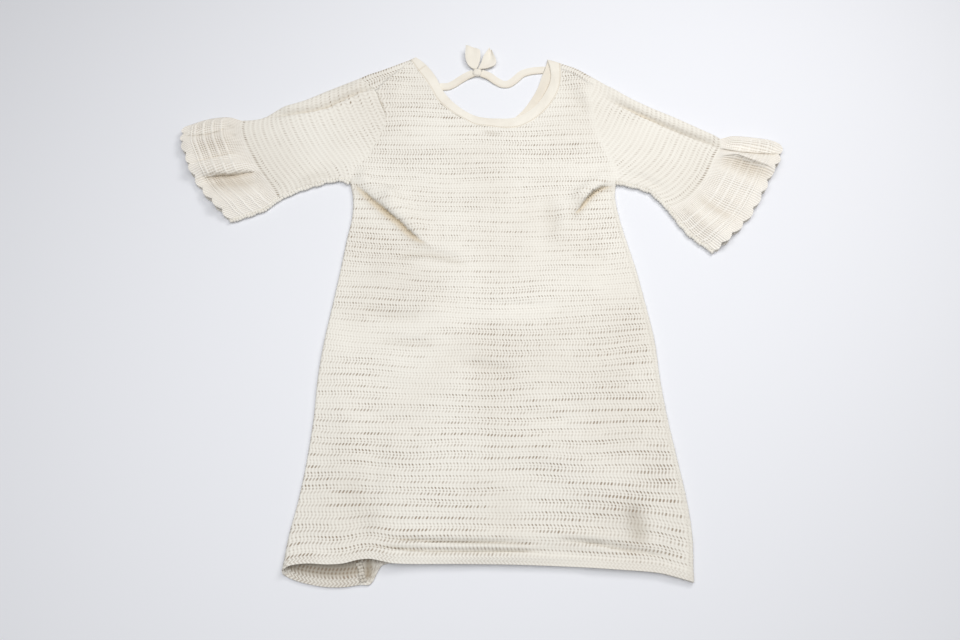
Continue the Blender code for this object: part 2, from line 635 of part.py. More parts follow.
def tie():
    """The tie of the back neck: two straps, the knot and two tails."""
    straps = (("tie_strap_left", STRAP_LEFT, -1), ("tie_strap_right", STRAP_RIGHT, 1))
    for node, points, side in straps:
        middle = smooth_line(points, STRAP_CELLS)
        upper, lower = beside(middle, TIE_WIDTH / 2), beside(middle, -TIE_WIDTH / 2)
        root = 0 if side < 0 else -1
        for edge in (upper, lower):
            edge[root, 0] = hole_edge(edge[root, 1], side) - side * SEAM_GAP * 1.5

        def strap_height(sheet, side=side):
            """A strap lies flat, and rises to the knot."""
            place = along_share(sheet)
            to_knot = place if side < 0 else 1 - place
            climb = np.clip((to_knot - KNOT_APPROACH) / (1 - KNOT_APPROACH), 0, 1)
            return TIE_WALL / 2 + KNOT_RISE * climb**2

        strip(node, upper, lower, STRAP_ACROSS, strap_height, JERSEY, TIE_WALL)

    def tail_height(sheet):
        """A tail rises towards its tip and is curled across."""
        rise = along_share(sheet)
        curl = TAIL_CURL * np.sin(np.pi * across_share(sheet)) * rise
        return TAIL_BASE_HEIGHT + (TAIL_TIP_HEIGHT - TAIL_BASE_HEIGHT) * rise + curl

    for node, (left, right) in (("tie_tail_left", TAIL_LEFT_EDGES), ("tie_tail_right", TAIL_RIGHT_EDGES)):
        left_edge, right_edge = smooth_line(left, TAIL_CELLS), smooth_line(right, TAIL_CELLS)
        strip(node, left_edge, right_edge, TAIL_ACROSS, tail_height, JERSEY, TIE_WALL)
    knot()


def knot():
    """The knot: a squat ball with one soft groove."""
    points = []
    for ring in range(1, KNOT_RINGS):
        lean = np.pi * ring / KNOT_RINGS - np.pi / 2
        for turn in range(KNOT_TURNS):
            angle = 2 * np.pi * turn / KNOT_TURNS
            groove = 1 - KNOT_GROOVE * np.cos(2 * angle + KNOT_GROOVE_TURN)
            radius = np.cos(lean)
            points.append([radius * np.cos(angle) * groove, radius * np.sin(angle), np.sin(lean)])
    points += [[0, 0, -1], [0, 0, 1]]
    points = (np.array(points) * KNOT_HALF + KNOT_MIDDLE) * MM
    faces = grid_faces(KNOT_RINGS - 1, KNOT_TURNS, closed=True)
    bottom, top = len(points) - 2, len(points) - 1
    last = (KNOT_RINGS - 2) * KNOT_TURNS
    for turn in range(KNOT_TURNS):
        after = (turn + 1) % KNOT_TURNS
        faces.append((after, turn, bottom))
        faces.append((last + turn, last + after, top))
    add_part("tie_knot", points, faces, JERSEY)


def build():
    """Make the dress."""
    clear_scene()
    seam = front_panel()
    back_panel(seam)
    arm_left, arm_right = armholes()
    sleeve("sleeve_left", arm_left, SLEEVE_TOP_LEFT, SLEEVE_UNDER_LEFT, CUFF_SEAM_LEFT, -1)
    sleeve("sleeve_right", arm_right, SLEEVE_TOP_RIGHT, SLEEVE_UNDER_RIGHT, CUFF_SEAM_RIGHT, 1)
    cuff("cuff_left", CUFF_SEAM_LEFT, CUFF_TOP_LEFT, CUFF_UNDER_LEFT, SCALLOPS_LEFT, -1)
    cuff("cuff_right", CUFF_SEAM_RIGHT, CUFF_TOP_RIGHT, CUFF_UNDER_RIGHT, SCALLOPS_RIGHT, 1)
    neck_bindings()
    tie()


build()
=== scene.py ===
import math
import bpy
import numpy as np
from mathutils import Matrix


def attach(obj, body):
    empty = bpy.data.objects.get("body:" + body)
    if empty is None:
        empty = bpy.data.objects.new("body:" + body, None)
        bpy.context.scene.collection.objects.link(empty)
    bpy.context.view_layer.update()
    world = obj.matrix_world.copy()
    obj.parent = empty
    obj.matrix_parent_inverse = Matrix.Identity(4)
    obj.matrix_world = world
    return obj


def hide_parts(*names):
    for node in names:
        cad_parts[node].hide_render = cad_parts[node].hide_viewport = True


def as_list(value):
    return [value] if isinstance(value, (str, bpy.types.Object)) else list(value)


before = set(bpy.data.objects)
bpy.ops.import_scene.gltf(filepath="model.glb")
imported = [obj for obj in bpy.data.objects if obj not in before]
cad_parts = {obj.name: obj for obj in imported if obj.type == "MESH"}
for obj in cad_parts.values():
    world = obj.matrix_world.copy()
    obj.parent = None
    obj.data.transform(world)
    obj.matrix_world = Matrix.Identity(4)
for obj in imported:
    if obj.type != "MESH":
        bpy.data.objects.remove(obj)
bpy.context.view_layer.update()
print("dress: frame loaded,", len(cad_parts), "nodes")

# Lengths in the tables are millimetres. Left and right are as seen from above, with the hem nearest.
mm = 0.001

clothSizes = {
    "wall": 2.0, "bandWall": 2.6, "bandWidth": 9.0, "seamGap": 0.3,
    "lower": 1.0, "upper": 4.6, "leastUpper": 3.7,   # middle of the lower and upper layer
    "rimHeight": 2.3, "edgeRound": 1.8, "foldRounding": 0.7, "foldCrestIn": 4.0,
    "edgeTurns": np.radians([0, 18, 36, 54, 72, 90]),   # how a closed edge turns over
    "edgeEase": 26.0,   # columns this near a closed edge make room for it
}

solidFolds = [   # folds of the solids: start, end, half width, lift
    (-206, -292, -112, -280, 34, 9.0), (-136, 176, -104, 152, 9, 4.5), (-104, 152, -70, 112, 10, 4.0),
    (-140, 166, -84, 112, 5, -2.5), (146, 177, 118, 152, 9, 3.5), (118, 152, 92, 104, 13, 3.0),
    (150, 164, 112, 134, 6, -2.0), (-108, 60, -20, 52, 15, 1.8), (-60, 20, -20, -80, 26, 1.6),
    (70, -150, 150, -205, 22, 2.2), (-160, -40, -130, -170, 22, 2.0), (-60, -240, 120, -242, 9, 1.8),
    (-76, -276, -20, -274, 14, 1.6), (120, -280, 190, -286, 16, 2.0), (-134, 312, -100, 300, 10, 2.5),
    (112, 318, 130, 290, 10, 2.5),
    (-152, 300, -232, 270, 8, 3.0), (-150, 284, -236, 260, 5, -1.2), (-160, 210, -228, 190, 20, 1.8),
    (-200, 172, -230, 168, 8, 1.2), (160, 292, 276, 230, 8, 3.2), (166, 280, 276, 222, 5, -1.2),
    (170, 200, 232, 178, 18, 1.8),
]


# Lines, patches and heights

def smoothLine(points, cells):
    points = np.array(points, float)
    ends = np.vstack([2 * points[0] - points[1], points, 2 * points[-1] - points[-2]])
    steps = np.linspace(0, 1, 17)[:-1, None]
    fine = []
    for a, b, c, d in zip(ends, ends[1:], ends[2:], ends[3:]):
        fine.append(0.5 * (2 * b + (c - a) * steps + (2 * a - 5 * b + 4 * c - d) * steps**2
                           + (3 * b - a - 3 * c + d) * steps**3))
    fine = np.vstack([*fine, points[-1:]])
    length = pathLength(fine)
    places = np.linspace(0, length[-1], cells + 1)
    return np.column_stack([np.interp(places, length, axis) for axis in fine.T])


def pathLength(line):   # length from the start to every point
    return np.concatenate([[0], np.cumsum(np.sqrt((np.diff(line, axis=0)**2).sum(1)))])


def alongLine(line, fractions):
    places = np.linspace(0, 1, len(line))
    return np.column_stack([np.interp(fractions, places, axis) for axis in line.T])


def sideways(line, distance):   # moved to the left of its direction
    ahead = np.gradient(line, axis=0)
    ahead /= np.hypot(ahead[:, 0], ahead[:, 1])[:, None]
    return line + distance * np.column_stack([-ahead[:, 1], ahead[:, 0]])


def nearLine(x, y, line, across=False):   # distance, side (+ at the left) and share along of the nearest point
    line = np.array(line, float)
    total = pathLength(line)
    best = [np.full(np.shape(x), np.inf)] + [np.zeros(np.shape(x)) for _ in range(4)]
    for (ax, ay), (bx, by), start, end in zip(line, line[1:], total, total[1:]):
        dx, dy = bx - ax, by - ay
        share = np.clip(((x - ax) * dx + (y - ay) * dy) / (dx * dx + dy * dy), 0, 1)
        away = np.hypot(x - ax - share * dx, y - ay - share * dy)
        size = math.hypot(dx, dy)
        found = (away, np.sign(dx * (y - ay) - dy * (x - ax)), (start + share * (end - start)) / total[-1],
                 -dy / size, dx / size)
        nearer = away < best[0]
        best = [np.where(nearer, new, old) for new, old in zip(found, best)]
    return best if across else best[:3]


def fourSided(bottom, top, left, right, across, up):
    u, v = across[None, :, None], up[:, None, None]
    sides = (1 - u) * left[:, None] + u * right[:, None]
    ends = (1 - v) * bottom[None] + v * top[None]
    corners = (1 - v) * ((1 - u) * bottom[0] + u * bottom[-1]) + v * ((1 - u) * top[0] + u * top[-1])
    return sides + ends - corners


def foldLift(x, y, folds):
    lift = np.zeros(np.shape(x))
    for x0, y0, x1, y1, width, height in folds:
        away = nearLine(x, y, ((x0, y0), (x1, y1)))[0]
        lift += height * np.exp(-(away / width)**2)
    return lift


def markShape(x, y, mark, least, power):   # strongest along its middle, gone at both ends
    points, strength, leftWidth, rightWidth = mark
    away, side, share = nearLine(x, y, smoothLine(points, 8))
    width = np.where(side > 0, leftWidth, rightWidth)
    fade = np.clip(4 * share * (1 - share), least, 1)**power
    return strength * fade * np.exp(-(away / width)**2)


def creaseLift(x, y, creases):   # soft troughs and ridges
    return sum(markShape(x, y, crease, 0.06, 0.6) for crease in creases)


def warmTint(x, y, creases):   # the strongest shade of all that reach a point
    shades = [markShape(x, y, crease, 0.05, 0.5) for crease in creases]
    return np.maximum(np.max(shades, axis=0), 0)


def layTucks(plan, height, tucks):   # cloth on one side of a line lies a little over the other side
    plan, height = plan.copy(), height.copy()
    x, y = plan[..., 0].copy(), plan[..., 1].copy()
    for points, side, lap, lip, drop, reach in tucks:
        away, left, share, acrossX, acrossY = nearLine(x, y, smoothLine(points, 16), across=True)
        over = left * side >= 0
        fade = np.clip(4 * share * (1 - share), 0, 1)**0.6
        near = np.clip(away / reach, 0, 1)
        moved = fade * (away + lap - (reach + lap) * near**1.5) * (near < 1) * over
        plan[..., 0] -= side * acrossX * moved
        plan[..., 1] -= side * acrossY * moved
        height += np.where(over, lip * fade * np.exp(-(away / reach)**2),
                           -drop * fade * np.exp(-(away / (0.5 * reach))**2))
    return plan, height


def softUneven(x, y, size):   # a slow wander, as in cloth smoothed by hand
    return size * (0.5 * np.sin(x / 21 + 1.3 + y / 60) * np.sin(y / 12.5 + 0.7 * np.sin(x / 35))
                   + 0.3 * np.sin(x / 13.7 + y / 29 + 2.1) * np.sin(y / 9.1 - x / 47)
                   + 0.35 * np.sin(x / 47 + 0.4) * np.sin(y / 38 + 2.2))


def upperHeight(x, y):
    folds = clothSizes["upper"] + foldLift(x, y, solidFolds)
    return np.maximum(folds, clothSizes["leastUpper"])


# A sheet of cloth is a plan of points, how far each has risen over a closed edge, and which way its wall leans

def flatSheet(plan):
    return plan, np.ones(plan.shape[:2]), np.zeros(plan.shape)


def flipped(sheet):
    return tuple(np.flip(values, axis=1) for values in sheet)


def turned(sheet):
    return tuple(np.swapaxes(values, 0, 1) for values in sheet)


def roundEdge(sheet, closed, reach=None):   # the first column becomes several, which turn over a closed edge
    plan, rise, lean = sheet
    rows = len(plan)
    turns = clothSizes["edgeTurns"]
    half = clothSizes["wall"] / 2
    closed = np.broadcast_to(closed, rows)
    reach = np.broadcast_to(clothSizes["edgeRound"] if reach is None else reach, rows)
    ease = clothSizes["edgeEase"]
    made = [[], [], []]
    for row in range(rows):
        places = pathLength(plan[row])
        depth = half + reach[row]
        if closed[row]:
            first = half + reach[row] * (1 - np.cos(turns))
        else:
            first = np.linspace(0, depth, len(turns))
        later = np.where(places[1:] < ease, depth + places[1:] * (ease - depth) / ease, places[1:])
        target = np.concatenate([first, later])
        inward = plan[row, 1] - plan[row, 0]
        inward = inward / np.hypot(*inward)
        newPlan = np.column_stack([np.interp(target, places, plan[row, :, axis]) for axis in (0, 1)])
        newRise = np.interp(target, places, rise[row])
        newLean = np.column_stack([np.interp(target, places, lean[row, :, axis]) for axis in (0, 1)])
        if closed[row]:
            newRise[:len(turns)] *= np.sin(turns)
            newLean[:len(turns)] = -inward * np.cos(turns)[:, None]
        for values, new in zip(made, (newPlan, newRise, newLean)):
            values.append(new)
    return tuple(np.array(values) for values in made)


def roundSides(sheet, closed=True, reach=None):
    return flipped(roundEdge(flipped(roundEdge(sheet, closed, reach)), closed))


def upright(lean, sign=1.0):
    return np.dstack([lean, sign * np.sqrt(np.clip(1 - (lean**2).sum(-1), 0, 1))])


def gridFaces(rows, columns, closed=False):
    faces = []
    for row in range(rows - 1):
        for column in range(columns if closed else columns - 1):
            after = (column + 1) % columns
            faces.append((row * columns + column, row * columns + after,
                          (row + 1) * columns + after, (row + 1) * columns + column))
    return faces


def ballFaces(rings, turns):   # for rings of points from low to high, then the bottom point and the top one
    faces = gridFaces(rings - 1, turns, closed=True)
    last = (rings - 2) * turns
    bottom = last + turns
    for turn in range(turns):
        after = (turn + 1) % turns
        faces += [(after, turn, bottom), (last + turn, last + after, bottom + 1)]
    return faces


def addPiece(name, points, faces, material, nodes=(), knit=None, tint=None):
    mesh = bpy.data.meshes.new(name)
    mesh.from_pydata((np.asarray(points) * mm).tolist(), [], faces)
    mesh.materials.append(material)
    mesh.shade_smooth()
    mesh.set_sharp_from_angle(angle=math.radians(58))
    if knit is not None:
        mesh.attributes.new("knit", "FLOAT_VECTOR", "POINT").data.foreach_set("vector", np.ravel(knit))
    if tint is not None:
        mesh.attributes.new("tint", "FLOAT", "POINT").data.foreach_set("value", np.ravel(tint))
    piece = bpy.data.objects.new(name, mesh)
    bpy.context.collection.objects.link(piece)
    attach(piece, "root")
    if nodes:
        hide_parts(*nodes)
    return piece


def clothPiece(name, middle, lean, faces, material, nodes, knit, tint=0.0, half=1.0):
    middle, lean = np.reshape(middle, (-1, 3)), np.reshape(lean, (-1, 3))
    count = len(middle)
    half = np.broadcast_to(half, count)[:, None]
    points = np.vstack([middle + lean * half, middle - lean * half])
    edges = {(a, b) for face in faces for a, b in zip(face, face[1:] + face[:1])}
    inside = [tuple(corner + count for corner in reversed(face)) for face in faces]
    rim = [(b, a, a + count, b + count) for a, b in sorted(edges) if (b, a) not in edges]
    knit = np.reshape(knit, (-1, 3))
    tint = np.broadcast_to(tint, count) if np.ndim(tint) == 0 else np.ravel(tint)   # one for all, or each its own
    return addPiece(name, points, faces + inside + rim, material, nodes,
                    np.vstack([knit, knit]), np.concatenate([tint, tint]))


# Finishes

class Flow:   # a number or colour in a finish's nodes, which adds and multiplies like a plain number
    def __init__(self, finish, socket):
        self.finish, self.socket = finish, socket

    def __add__(self, other):
        return self.finish.sum("ADD", self, other)

    def __sub__(self, other):
        return self.finish.sum("SUBTRACT", self, other)

    def __rsub__(self, other):
        return self.finish.sum("SUBTRACT", other, self)

    def __mul__(self, other):
        return self.finish.sum("MULTIPLY", self, other)

    def __pow__(self, other):
        return self.finish.sum("POWER", self, other)

    def __abs__(self):
        return self.finish.sum("ABSOLUTE", self)

    __radd__, __rmul__ = __add__, __mul__


class Finish:   # a material with its nodes, and short calls that add to them
    def __init__(self, name, look):
        self.look = look
        self.material = bpy.data.materials.new(name)
        self.material.use_nodes = True
        self.tree = self.material.node_tree
        self.shader = self.tree.nodes["Principled BSDF"]
        for socket, value in (("Sheen Weight", look["sheen"]), ("Sheen Tint", (*look["sheenTint"], 1)),
                              ("Sheen Roughness", 0.5), ("Specular IOR Level", 0.18)):
            self.shader.inputs[socket].default_value = value

    def node(self, kind, *values, output=0, **settings):
        node = self.tree.nodes.new("ShaderNode" + kind)
        for name, setting in settings.items():
            setattr(node, name, setting)
        for value, socket in zip(values, node.inputs):
            self.join(value, socket)
        return Flow(self, node.outputs[output])

    def join(self, value, socket):
        if isinstance(value, Flow):
            self.tree.links.new(value.socket, socket)
        else:
            socket.default_value = value

    def sum(self, operation, *values):
        return self.node("Math", *values, operation=operation)

    def sine(self, value):   # once round for every whole number
        return self.sum("SINE", value * (2 * math.pi))

    def cosine(self, value):
        return self.sum("COSINE", value * (2 * math.pi))

    def wave(self, value):   # 1 at every whole number, 0 half way
        return self.cosine(value) * 0.5 + 0.5

    def held(self, value):   # kept from 0 to 1
        return self.node("Math", value, 1.0, operation="MULTIPLY", use_clamp=True)

    def knit(self):   # the wale number, course number and openness of each point
        vector = self.node("Attribute", output="Vector", attribute_name="knit")
        return [Flow(self, socket) for socket in self.node("SeparateXYZ", vector).socket.node.outputs]

    # the painted shade of each point, 0 to 1, from the pieces' tint attribute
    def tint(self):
        return self.held(self.node("Attribute", output="Fac", attribute_name="tint"))

    def vector(self, x, y):
        return self.node("CombineXYZ", x, y)

    def noise(self, scale, detail=2.0, stretch=(1, 1, 1), where=None):
        if where is None:
            where = self.node("TexCoord", output="Object")
        where = self.node("Mapping", where, (0, 0, 0), (0, 0, 0), stretch)
        noise = self.node("TexNoise", where)
        inputs = noise.socket.node.inputs
        inputs["Scale"].default_value, inputs["Detail"].default_value = scale, detail
        return noise

    def chance(self, x, y):   # a fixed random number for each stitch
        return self.node("TexWhiteNoise", self.vector(x, y), noise_dimensions="2D")

    def spread(self, value, low, high, toLow=0.0, toHigh=1.0):
        return self.node("MapRange", value, low, high, toLow, toHigh, interpolation_type="SMOOTHSTEP")

    def near(self, value, place, inner, outer):   # 1 as far as inner from the place, 0 beyond outer
        return self.spread(abs(value - place), inner, outer, 1.0, 0.0)

    def nearRow(self, v, place, inner, outer):   # the same on a row of every repeat
        return self.near(self.sum("FRACT", v + (0.5 - place)), 0.5, inner, outer)

    def blend(self, share, first, second, mode="MIX"):
        mixed = self.node("Mix", share, output=2, data_type="RGBA", blend_type=mode)
        for colour, socket in zip((first, second), mixed.socket.node.inputs[6:8]):
            self.join(colour if isinstance(colour, Flow) else (*colour, 1), socket)
        return mixed

    def cream(self):   # the cloth's cream, which changes slowly from place to place
        tone = self.spread(self.noise(*self.look["tone"]), 0.35, 0.7)
        return self.blend(tone, self.look["cream"], self.look["shadedCream"])

    def finish(self, colour, yarn, height):
        look = self.look
        self.join(colour, self.shader.inputs["Base Color"])
        self.join(self.spread(yarn, 0.3, 0.7, *look["roughness"]), self.shader.inputs["Roughness"])
        bump = self.tree.nodes.new("ShaderNodeBump")
        bump.inputs["Strength"].default_value = look["bumpStrength"]
        bump.inputs["Distance"].default_value = look["bump"]
        self.join(height, bump.inputs["Height"])
        self.tree.links.new(bump.outputs[0], self.shader.inputs["Normal"])
        return self.material


laceLook = {
    # hole: painted shade, seen through the holes and in the lines and grooves between stitches, also the yarn's
    # random darker flecks
    "cream": (0.865, 0.842, 0.775), "shadedCream": (0.815, 0.785, 0.715), "hole": (0.36, 0.285, 0.215),
    "crevice": (0.63, 0.50, 0.31), "hollow": (0.46, 0.41, 0.34),   # painted shade that deep creases put on the cream, tan in crevices and grey in hollows
    "zigzag": 0.26, "bandZigzag": 0.30, "bandWaves": 2.6,   # how far the stitches lean, in wales
    "wander": 0.3, "lineShare": 1.3,
    "bigPatches": (19, (0.5, 1.35, 1), 0.36, 0.64, 0.22, 1.2),   # scale, stretch, from, to, least, most
    "smallPatches": (23, (0.42, 1.5, 1.7), 0.38, 0.62, 0.28, 1.25),
    "tone": (9, 3), "sheen": 0.10, "sheenTint": (1.0, 0.97, 0.9), "roughness": (0.82, 0.95),
    "bump": 0.0009, "bumpStrength": 0.6,
}
# Each lace: how dark the painted shade is in its rows of holes, the lines between wales and the grooves between
# courses
laceKinds = {
    "bodyLace": {"big": 0.78, "middle": 0.82, "third": 0.50, "lines": 0.14, "grooves": 0.085,
                 "courses": 4, "grooveShape": 0.8},
    "sleeveLace": {"big": 0.42, "middle": 0.40, "third": 0.06, "lines": 0.07, "grooves": 0.09,
                   "courses": 2, "grooveShape": 3.0},
}


def laceKnit(name):   # open rows of three sizes in every four courses
    look, kind = laceLook, laceKinds[name]
    f = Finish(name, look)
    u, v, openness = f.knit()
    inBand = f.spread(v, -0.14, -0.08)   # the hem band has no open rows, and shorter stitches
    lean = f.sine(v) * (inBand * look["zigzag"])
    lean = f.sine(v * look["bandWaves"]) * look["bandZigzag"] * (1 - inBand) + lean
    wander = (f.noise(0.5, 2, (1, 3, 1), f.vector(u, v)) - 0.5) * look["wander"]
    place = u - (lean + wander)
    gap = f.wave(place)
    stitch = f.chance(f.sum("FLOOR", place + 0.5), f.sum("FLOOR", v * 4 + 0.5))
    each = stitch**1.6 * 0.70 + 0.55   # some stitches are more open than others

    def patches(which):
        scale, stretch, *levels = look[which]
        return f.spread(f.noise(scale, 2.5, stretch), *levels)

    smallGap, smallPatches = gap**2.6, patches("smallPatches")
    holes = gap**1.8 * f.nearRow(v, 0.0, 0.05, 0.17) * (patches("bigPatches") * kind["big"])
    holes += smallGap * f.nearRow(v, 0.52, 0.02, 0.12) * (smallPatches * kind["middle"])
    holes += smallGap * f.nearRow(v, 0.28, 0.02, 0.10) * (smallPatches * kind["third"])
    dark = f.held(holes * (each * (openness * inBand)))
    clear = f.spread(f.noise(13, 2), 0.35, 0.65, 0.55, 1.15)
    lines = gap**look["lineShare"] * (clear * f.spread(v, -0.1, 0.05, 2.3, 1.0) * kind["lines"])
    grooves = (1 - (1 - f.wave(v * kind["courses"]))**kind["grooveShape"]) * kind["grooves"]
    yarn = f.noise(900, 2)
    soft = lines * (openness * 0.6 + 0.4) + grooves + (yarn - 0.4) * 0.12
    colour = f.blend(f.held(soft), f.cream(), look["hole"])
    tint = f.tint()   # painted shade: grey where weak or near the hem, tan where strong
    grey = f.sum("MAXIMUM", f.spread(v, 6.0, 10.0, 1.0, 0.0), f.spread(tint, 0.2, 0.45, 1.0, 0.0))
    colour = f.blend(tint, colour, f.blend(grey, look["crevice"], look["hollow"]), "MULTIPLY")
    return f.finish(f.blend(dark, colour, look["hole"]), yarn, 1 - (dark + soft * 1.6) + yarn * 0.10)


flounceLook = {
    # groove: painted shade in the rib grooves and the lattice, also the yarn's random darker flecks; crevice:
    # painted shade under pleats and lips
    "cream": (0.915, 0.888, 0.83), "shadedCream": (0.875, 0.84, 0.775), "groove": (0.55, 0.47, 0.37),
    "crevice": (0.58, 0.50, 0.39), "grooveShare": 0.33,
    "border": 11.0,   # plain ribbed border, millimetres from the edge
    "crossRidges": (13.8, 18.2, 28.5, 39.0, 49.5),   # bright rows, millimetres from the edge
    "ridgeWidth": 1.0, "lattice": 2.6,
    "tone": (14, 3), "sheen": 0.10, "sheenTint": (1.0, 0.97, 0.9), "roughness": (0.82, 0.95),
    "bump": 0.0008, "bumpStrength": 0.6,
}


def flounceKnit(name):   # ribs that run to the edge, with bright rows and a fine lattice across them
    look = flounceLook
    f = Finish(name, look)
    u, v, openness = f.knit()
    rib = f.wave(u)
    width = look["ridgeWidth"]
    ridges = sum(f.near(v, place, width * 0.3, width * 1.5) for place in look["crossRidges"])
    lattice = f.wave(v * (1 / look["lattice"]))**2.0 * f.spread(v, look["border"] - 1, look["border"] + 2)
    cross = lattice * (f.spread(f.noise(26, 2), 0.38, 0.62, 0.3, 1.0) * openness)
    dark = f.held((rib**2.0 * look["grooveShare"] + cross * (rib * 0.8 + 0.2)) * (1 - ridges * 0.85))
    yarn = f.noise(1000, 2)
    colour = f.blend(yarn * 0.08, f.cream(), look["groove"])
    colour = f.blend(f.tint(), f.blend(dark, colour, look["groove"]), look["crevice"], "MULTIPLY")
    return f.finish(colour, yarn, 1 - dark * 1.8 + ridges * 0.7 + yarn * 0.12)


jerseyLook = {
    # seam: colour of the stitched edge line, the weave's fine marks, and the painted shade from the tint
    # attribute
    "cream": (0.85, 0.815, 0.735), "shadedCream": (0.80, 0.755, 0.67), "seam": (0.56, 0.46, 0.33),
    "waleWidth": 1.15, "stitchLength": 2.6, "seamPlace": 0.90,
    "tone": (30, 3), "sheen": 0.14, "sheenTint": (1.0, 0.98, 0.93), "roughness": (0.74, 0.9),
    "bump": 0.0003, "bumpStrength": 0.35,
}


def smoothJersey(name, seamEdge=True):   # fine wales along the strip, and the stitched edge of the binding
    look = jerseyLook
    f = Finish(name, look)
    u, v, share = f.knit()
    rib = 1 / look["waleWidth"]
    weave = f.cosine(v * rib) * f.cosine(u * rib) * 0.5 + 0.5
    yarn = f.noise(700, 3)
    colour = f.blend((weave + yarn) * 0.035, f.cream(), look["seam"])
    raised = weave * 0.6 + yarn * 0.5
    if seamEdge:
        stitches = f.spread(f.sine(u * (1 / look["stitchLength"])), -0.5, 0.6, 0.45, 1.0)
        line = f.near(share, look["seamPlace"], 0.02, 0.075) * stitches
        colour = f.blend(line * 0.5, colour, look["seam"])
        raised = raised - line * 2.6
    # painted shade: the tint darkens toward the seam colour
    return f.finish(f.blend(f.tint(), colour, look["seam"]), yarn, raised)


yarnLook = {
    "cream": laceLook["cream"], "shadedCream": laceLook["shadedCream"], "tone": (60, 2),
    "sheen": 0.12, "sheenTint": (1.0, 0.97, 0.9), "roughness": (0.82, 0.95),
    "bump": 0.0003, "bumpStrength": 0.5,
}


def seamYarn(name, shade):   # the rolled, knobbly stitches of the seams
    f = Finish(name, yarnLook)
    yarn = f.noise(1400, 2)
    colour = f.blend(shade, f.cream(), laceLook["hollow"], "MULTIPLY")
    return f.finish(f.blend(yarn * 0.2, colour, laceLook["hole"]), yarn, yarn)


bodyLace, sleeveLace, flounceRib = laceKnit("bodyLace"), laceKnit("sleeveLace"), flounceKnit("flounceRib")
bindingJersey, tieJersey = smoothJersey("bindingJersey"), smoothJersey("tieJersey", seamEdge=False)
# mouthYarn is the same yarn with painted shade, for the seam inside the hem's mouth
rolledYarn, mouthYarn = seamYarn("rolledYarn", 0.0), seamYarn("mouthYarn", 0.4)
print("dress: finishes made")


# Body

bodyCut = {
    "side": [   # distance along Y, left edge, right edge
        (-275, -202.0, 219.0), (-240, -198.0, 220.0), (-200, -190.0, 216.5), (-160, -184.0, 210.0),
        (-115, -179.5, 202.5), (-70, -177.5, 197.0), (-25, -172.5, 193.5), (20, -165.0, 185.5),
        (60, -158.5, 177.5), (95, -153.5, 168.5), (125, -148.5, 161.5), (150, -148.5, 158.0),
        (171, -153.0, 160.0),
    ],
    "hemCornerRight": (218, -286),
    "frontHem": [
        (-202, -275), (-193, -270), (-176, -268), (-156, -269), (-139, -268), (-125, -264.5), (-112, -263.5),
        (-98, -266), (-82, -268), (-24, -268), (30, -268.5), (90, -270.5), (140, -273.5), (180, -276.5),
        (200, -281), (218, -286),
    ],
    "rolledHem": [
        (-202, -275), (-197, -280), (-186, -284.5), (-172, -288), (-155, -290.5), (-138, -290.5), (-120, -288),
    ],
    "backHem": [
        (-119.7, -288), (-113, -288), (-108.5, -283), (-105, -275), (-99, -267.5), (-80, -266), (-24, -265),
        (30, -265.5), (90, -267.5), (140, -270.5), (180, -273.5), (202, -278.5), (217, -283),
    ],
    "rolls": [(-290, 82), (-150, 60), (-50, 36), (40, 14), (75, 8)],   # along Y, how far the seam has rolled
    "rollEnd": 76.0, "rollClearance": 3.4, "droopReach": 90.0,
    "sideFade": 14.0, "uneven": 0.5, "relief": 0.17,   # relief of the front, which fades at its sides
    "chainIn": 4.2, "chainTint": 0.15, "chainHalf": 1.7,   # shade beside the chain of stitches at the right
    # inside the hem's mouth: its band, course repeat, painted shade (least, more) and how far in that shade
    # reaches
    "mouthBand": 6.5, "mouthRepeat": 10.8, "mouthShade": (0.12, 0.78), "mouthReach": 60,
    "flapShade": (-114.5, 5.5, -275, 50),   # the back's turned edge in the mouth
    "armholeLeft": [
        (-153, 171), (-149, 187), (-143, 194), (-134, 203), (-129, 213), (-122, 227), (-117, 240), (-113, 253),
        (-114, 266), (-120, 279), (-127, 294), (-134, 301), (-147, 313),
    ],
    "armholeRight": [
        (160, 171), (162, 183), (158, 195), (153, 207), (148, 220), (143, 234), (139, 250), (136.5, 267),
        (135, 284), (136.5, 299), (142, 312),
    ],
    "shoulderLeft": [(-147, 313), (-118, 326), (-86, 340)],
    "shoulderRight": [(99.5, 335), (120, 326), (142, 312)],
    "neckFront": [
        (-86, 340), (-76, 323), (-67, 310), (-59, 296), (-51, 281), (-37, 267), (-20, 255.5), (-4, 247),
        (14, 244.5), (32, 242), (46, 243.8), (59, 250), (71, 259), (81, 269.5), (89, 281), (95, 293),
        (98.5, 307), (99.5, 321), (99.5, 335),
    ],
    "neckBack": [
        (-86, 340), (-81.5, 329), (-74, 313), (-66.5, 296), (-57, 279), (-43, 261), (-24, 247.5), (-2, 240.5),
        (19, 239.5), (41, 244.5), (58, 258), (70, 276), (81, 295), (89, 313), (95, 326), (99.5, 335),
    ],
    "neckSpread": 12.0, "armholePull": 6, "neckPull": 16,
    "sideRows": 176, "bandRows": 5, "armholeCells": 64, "shoulderCells": 22, "neckCells": 84, "rollCells": 22,
}

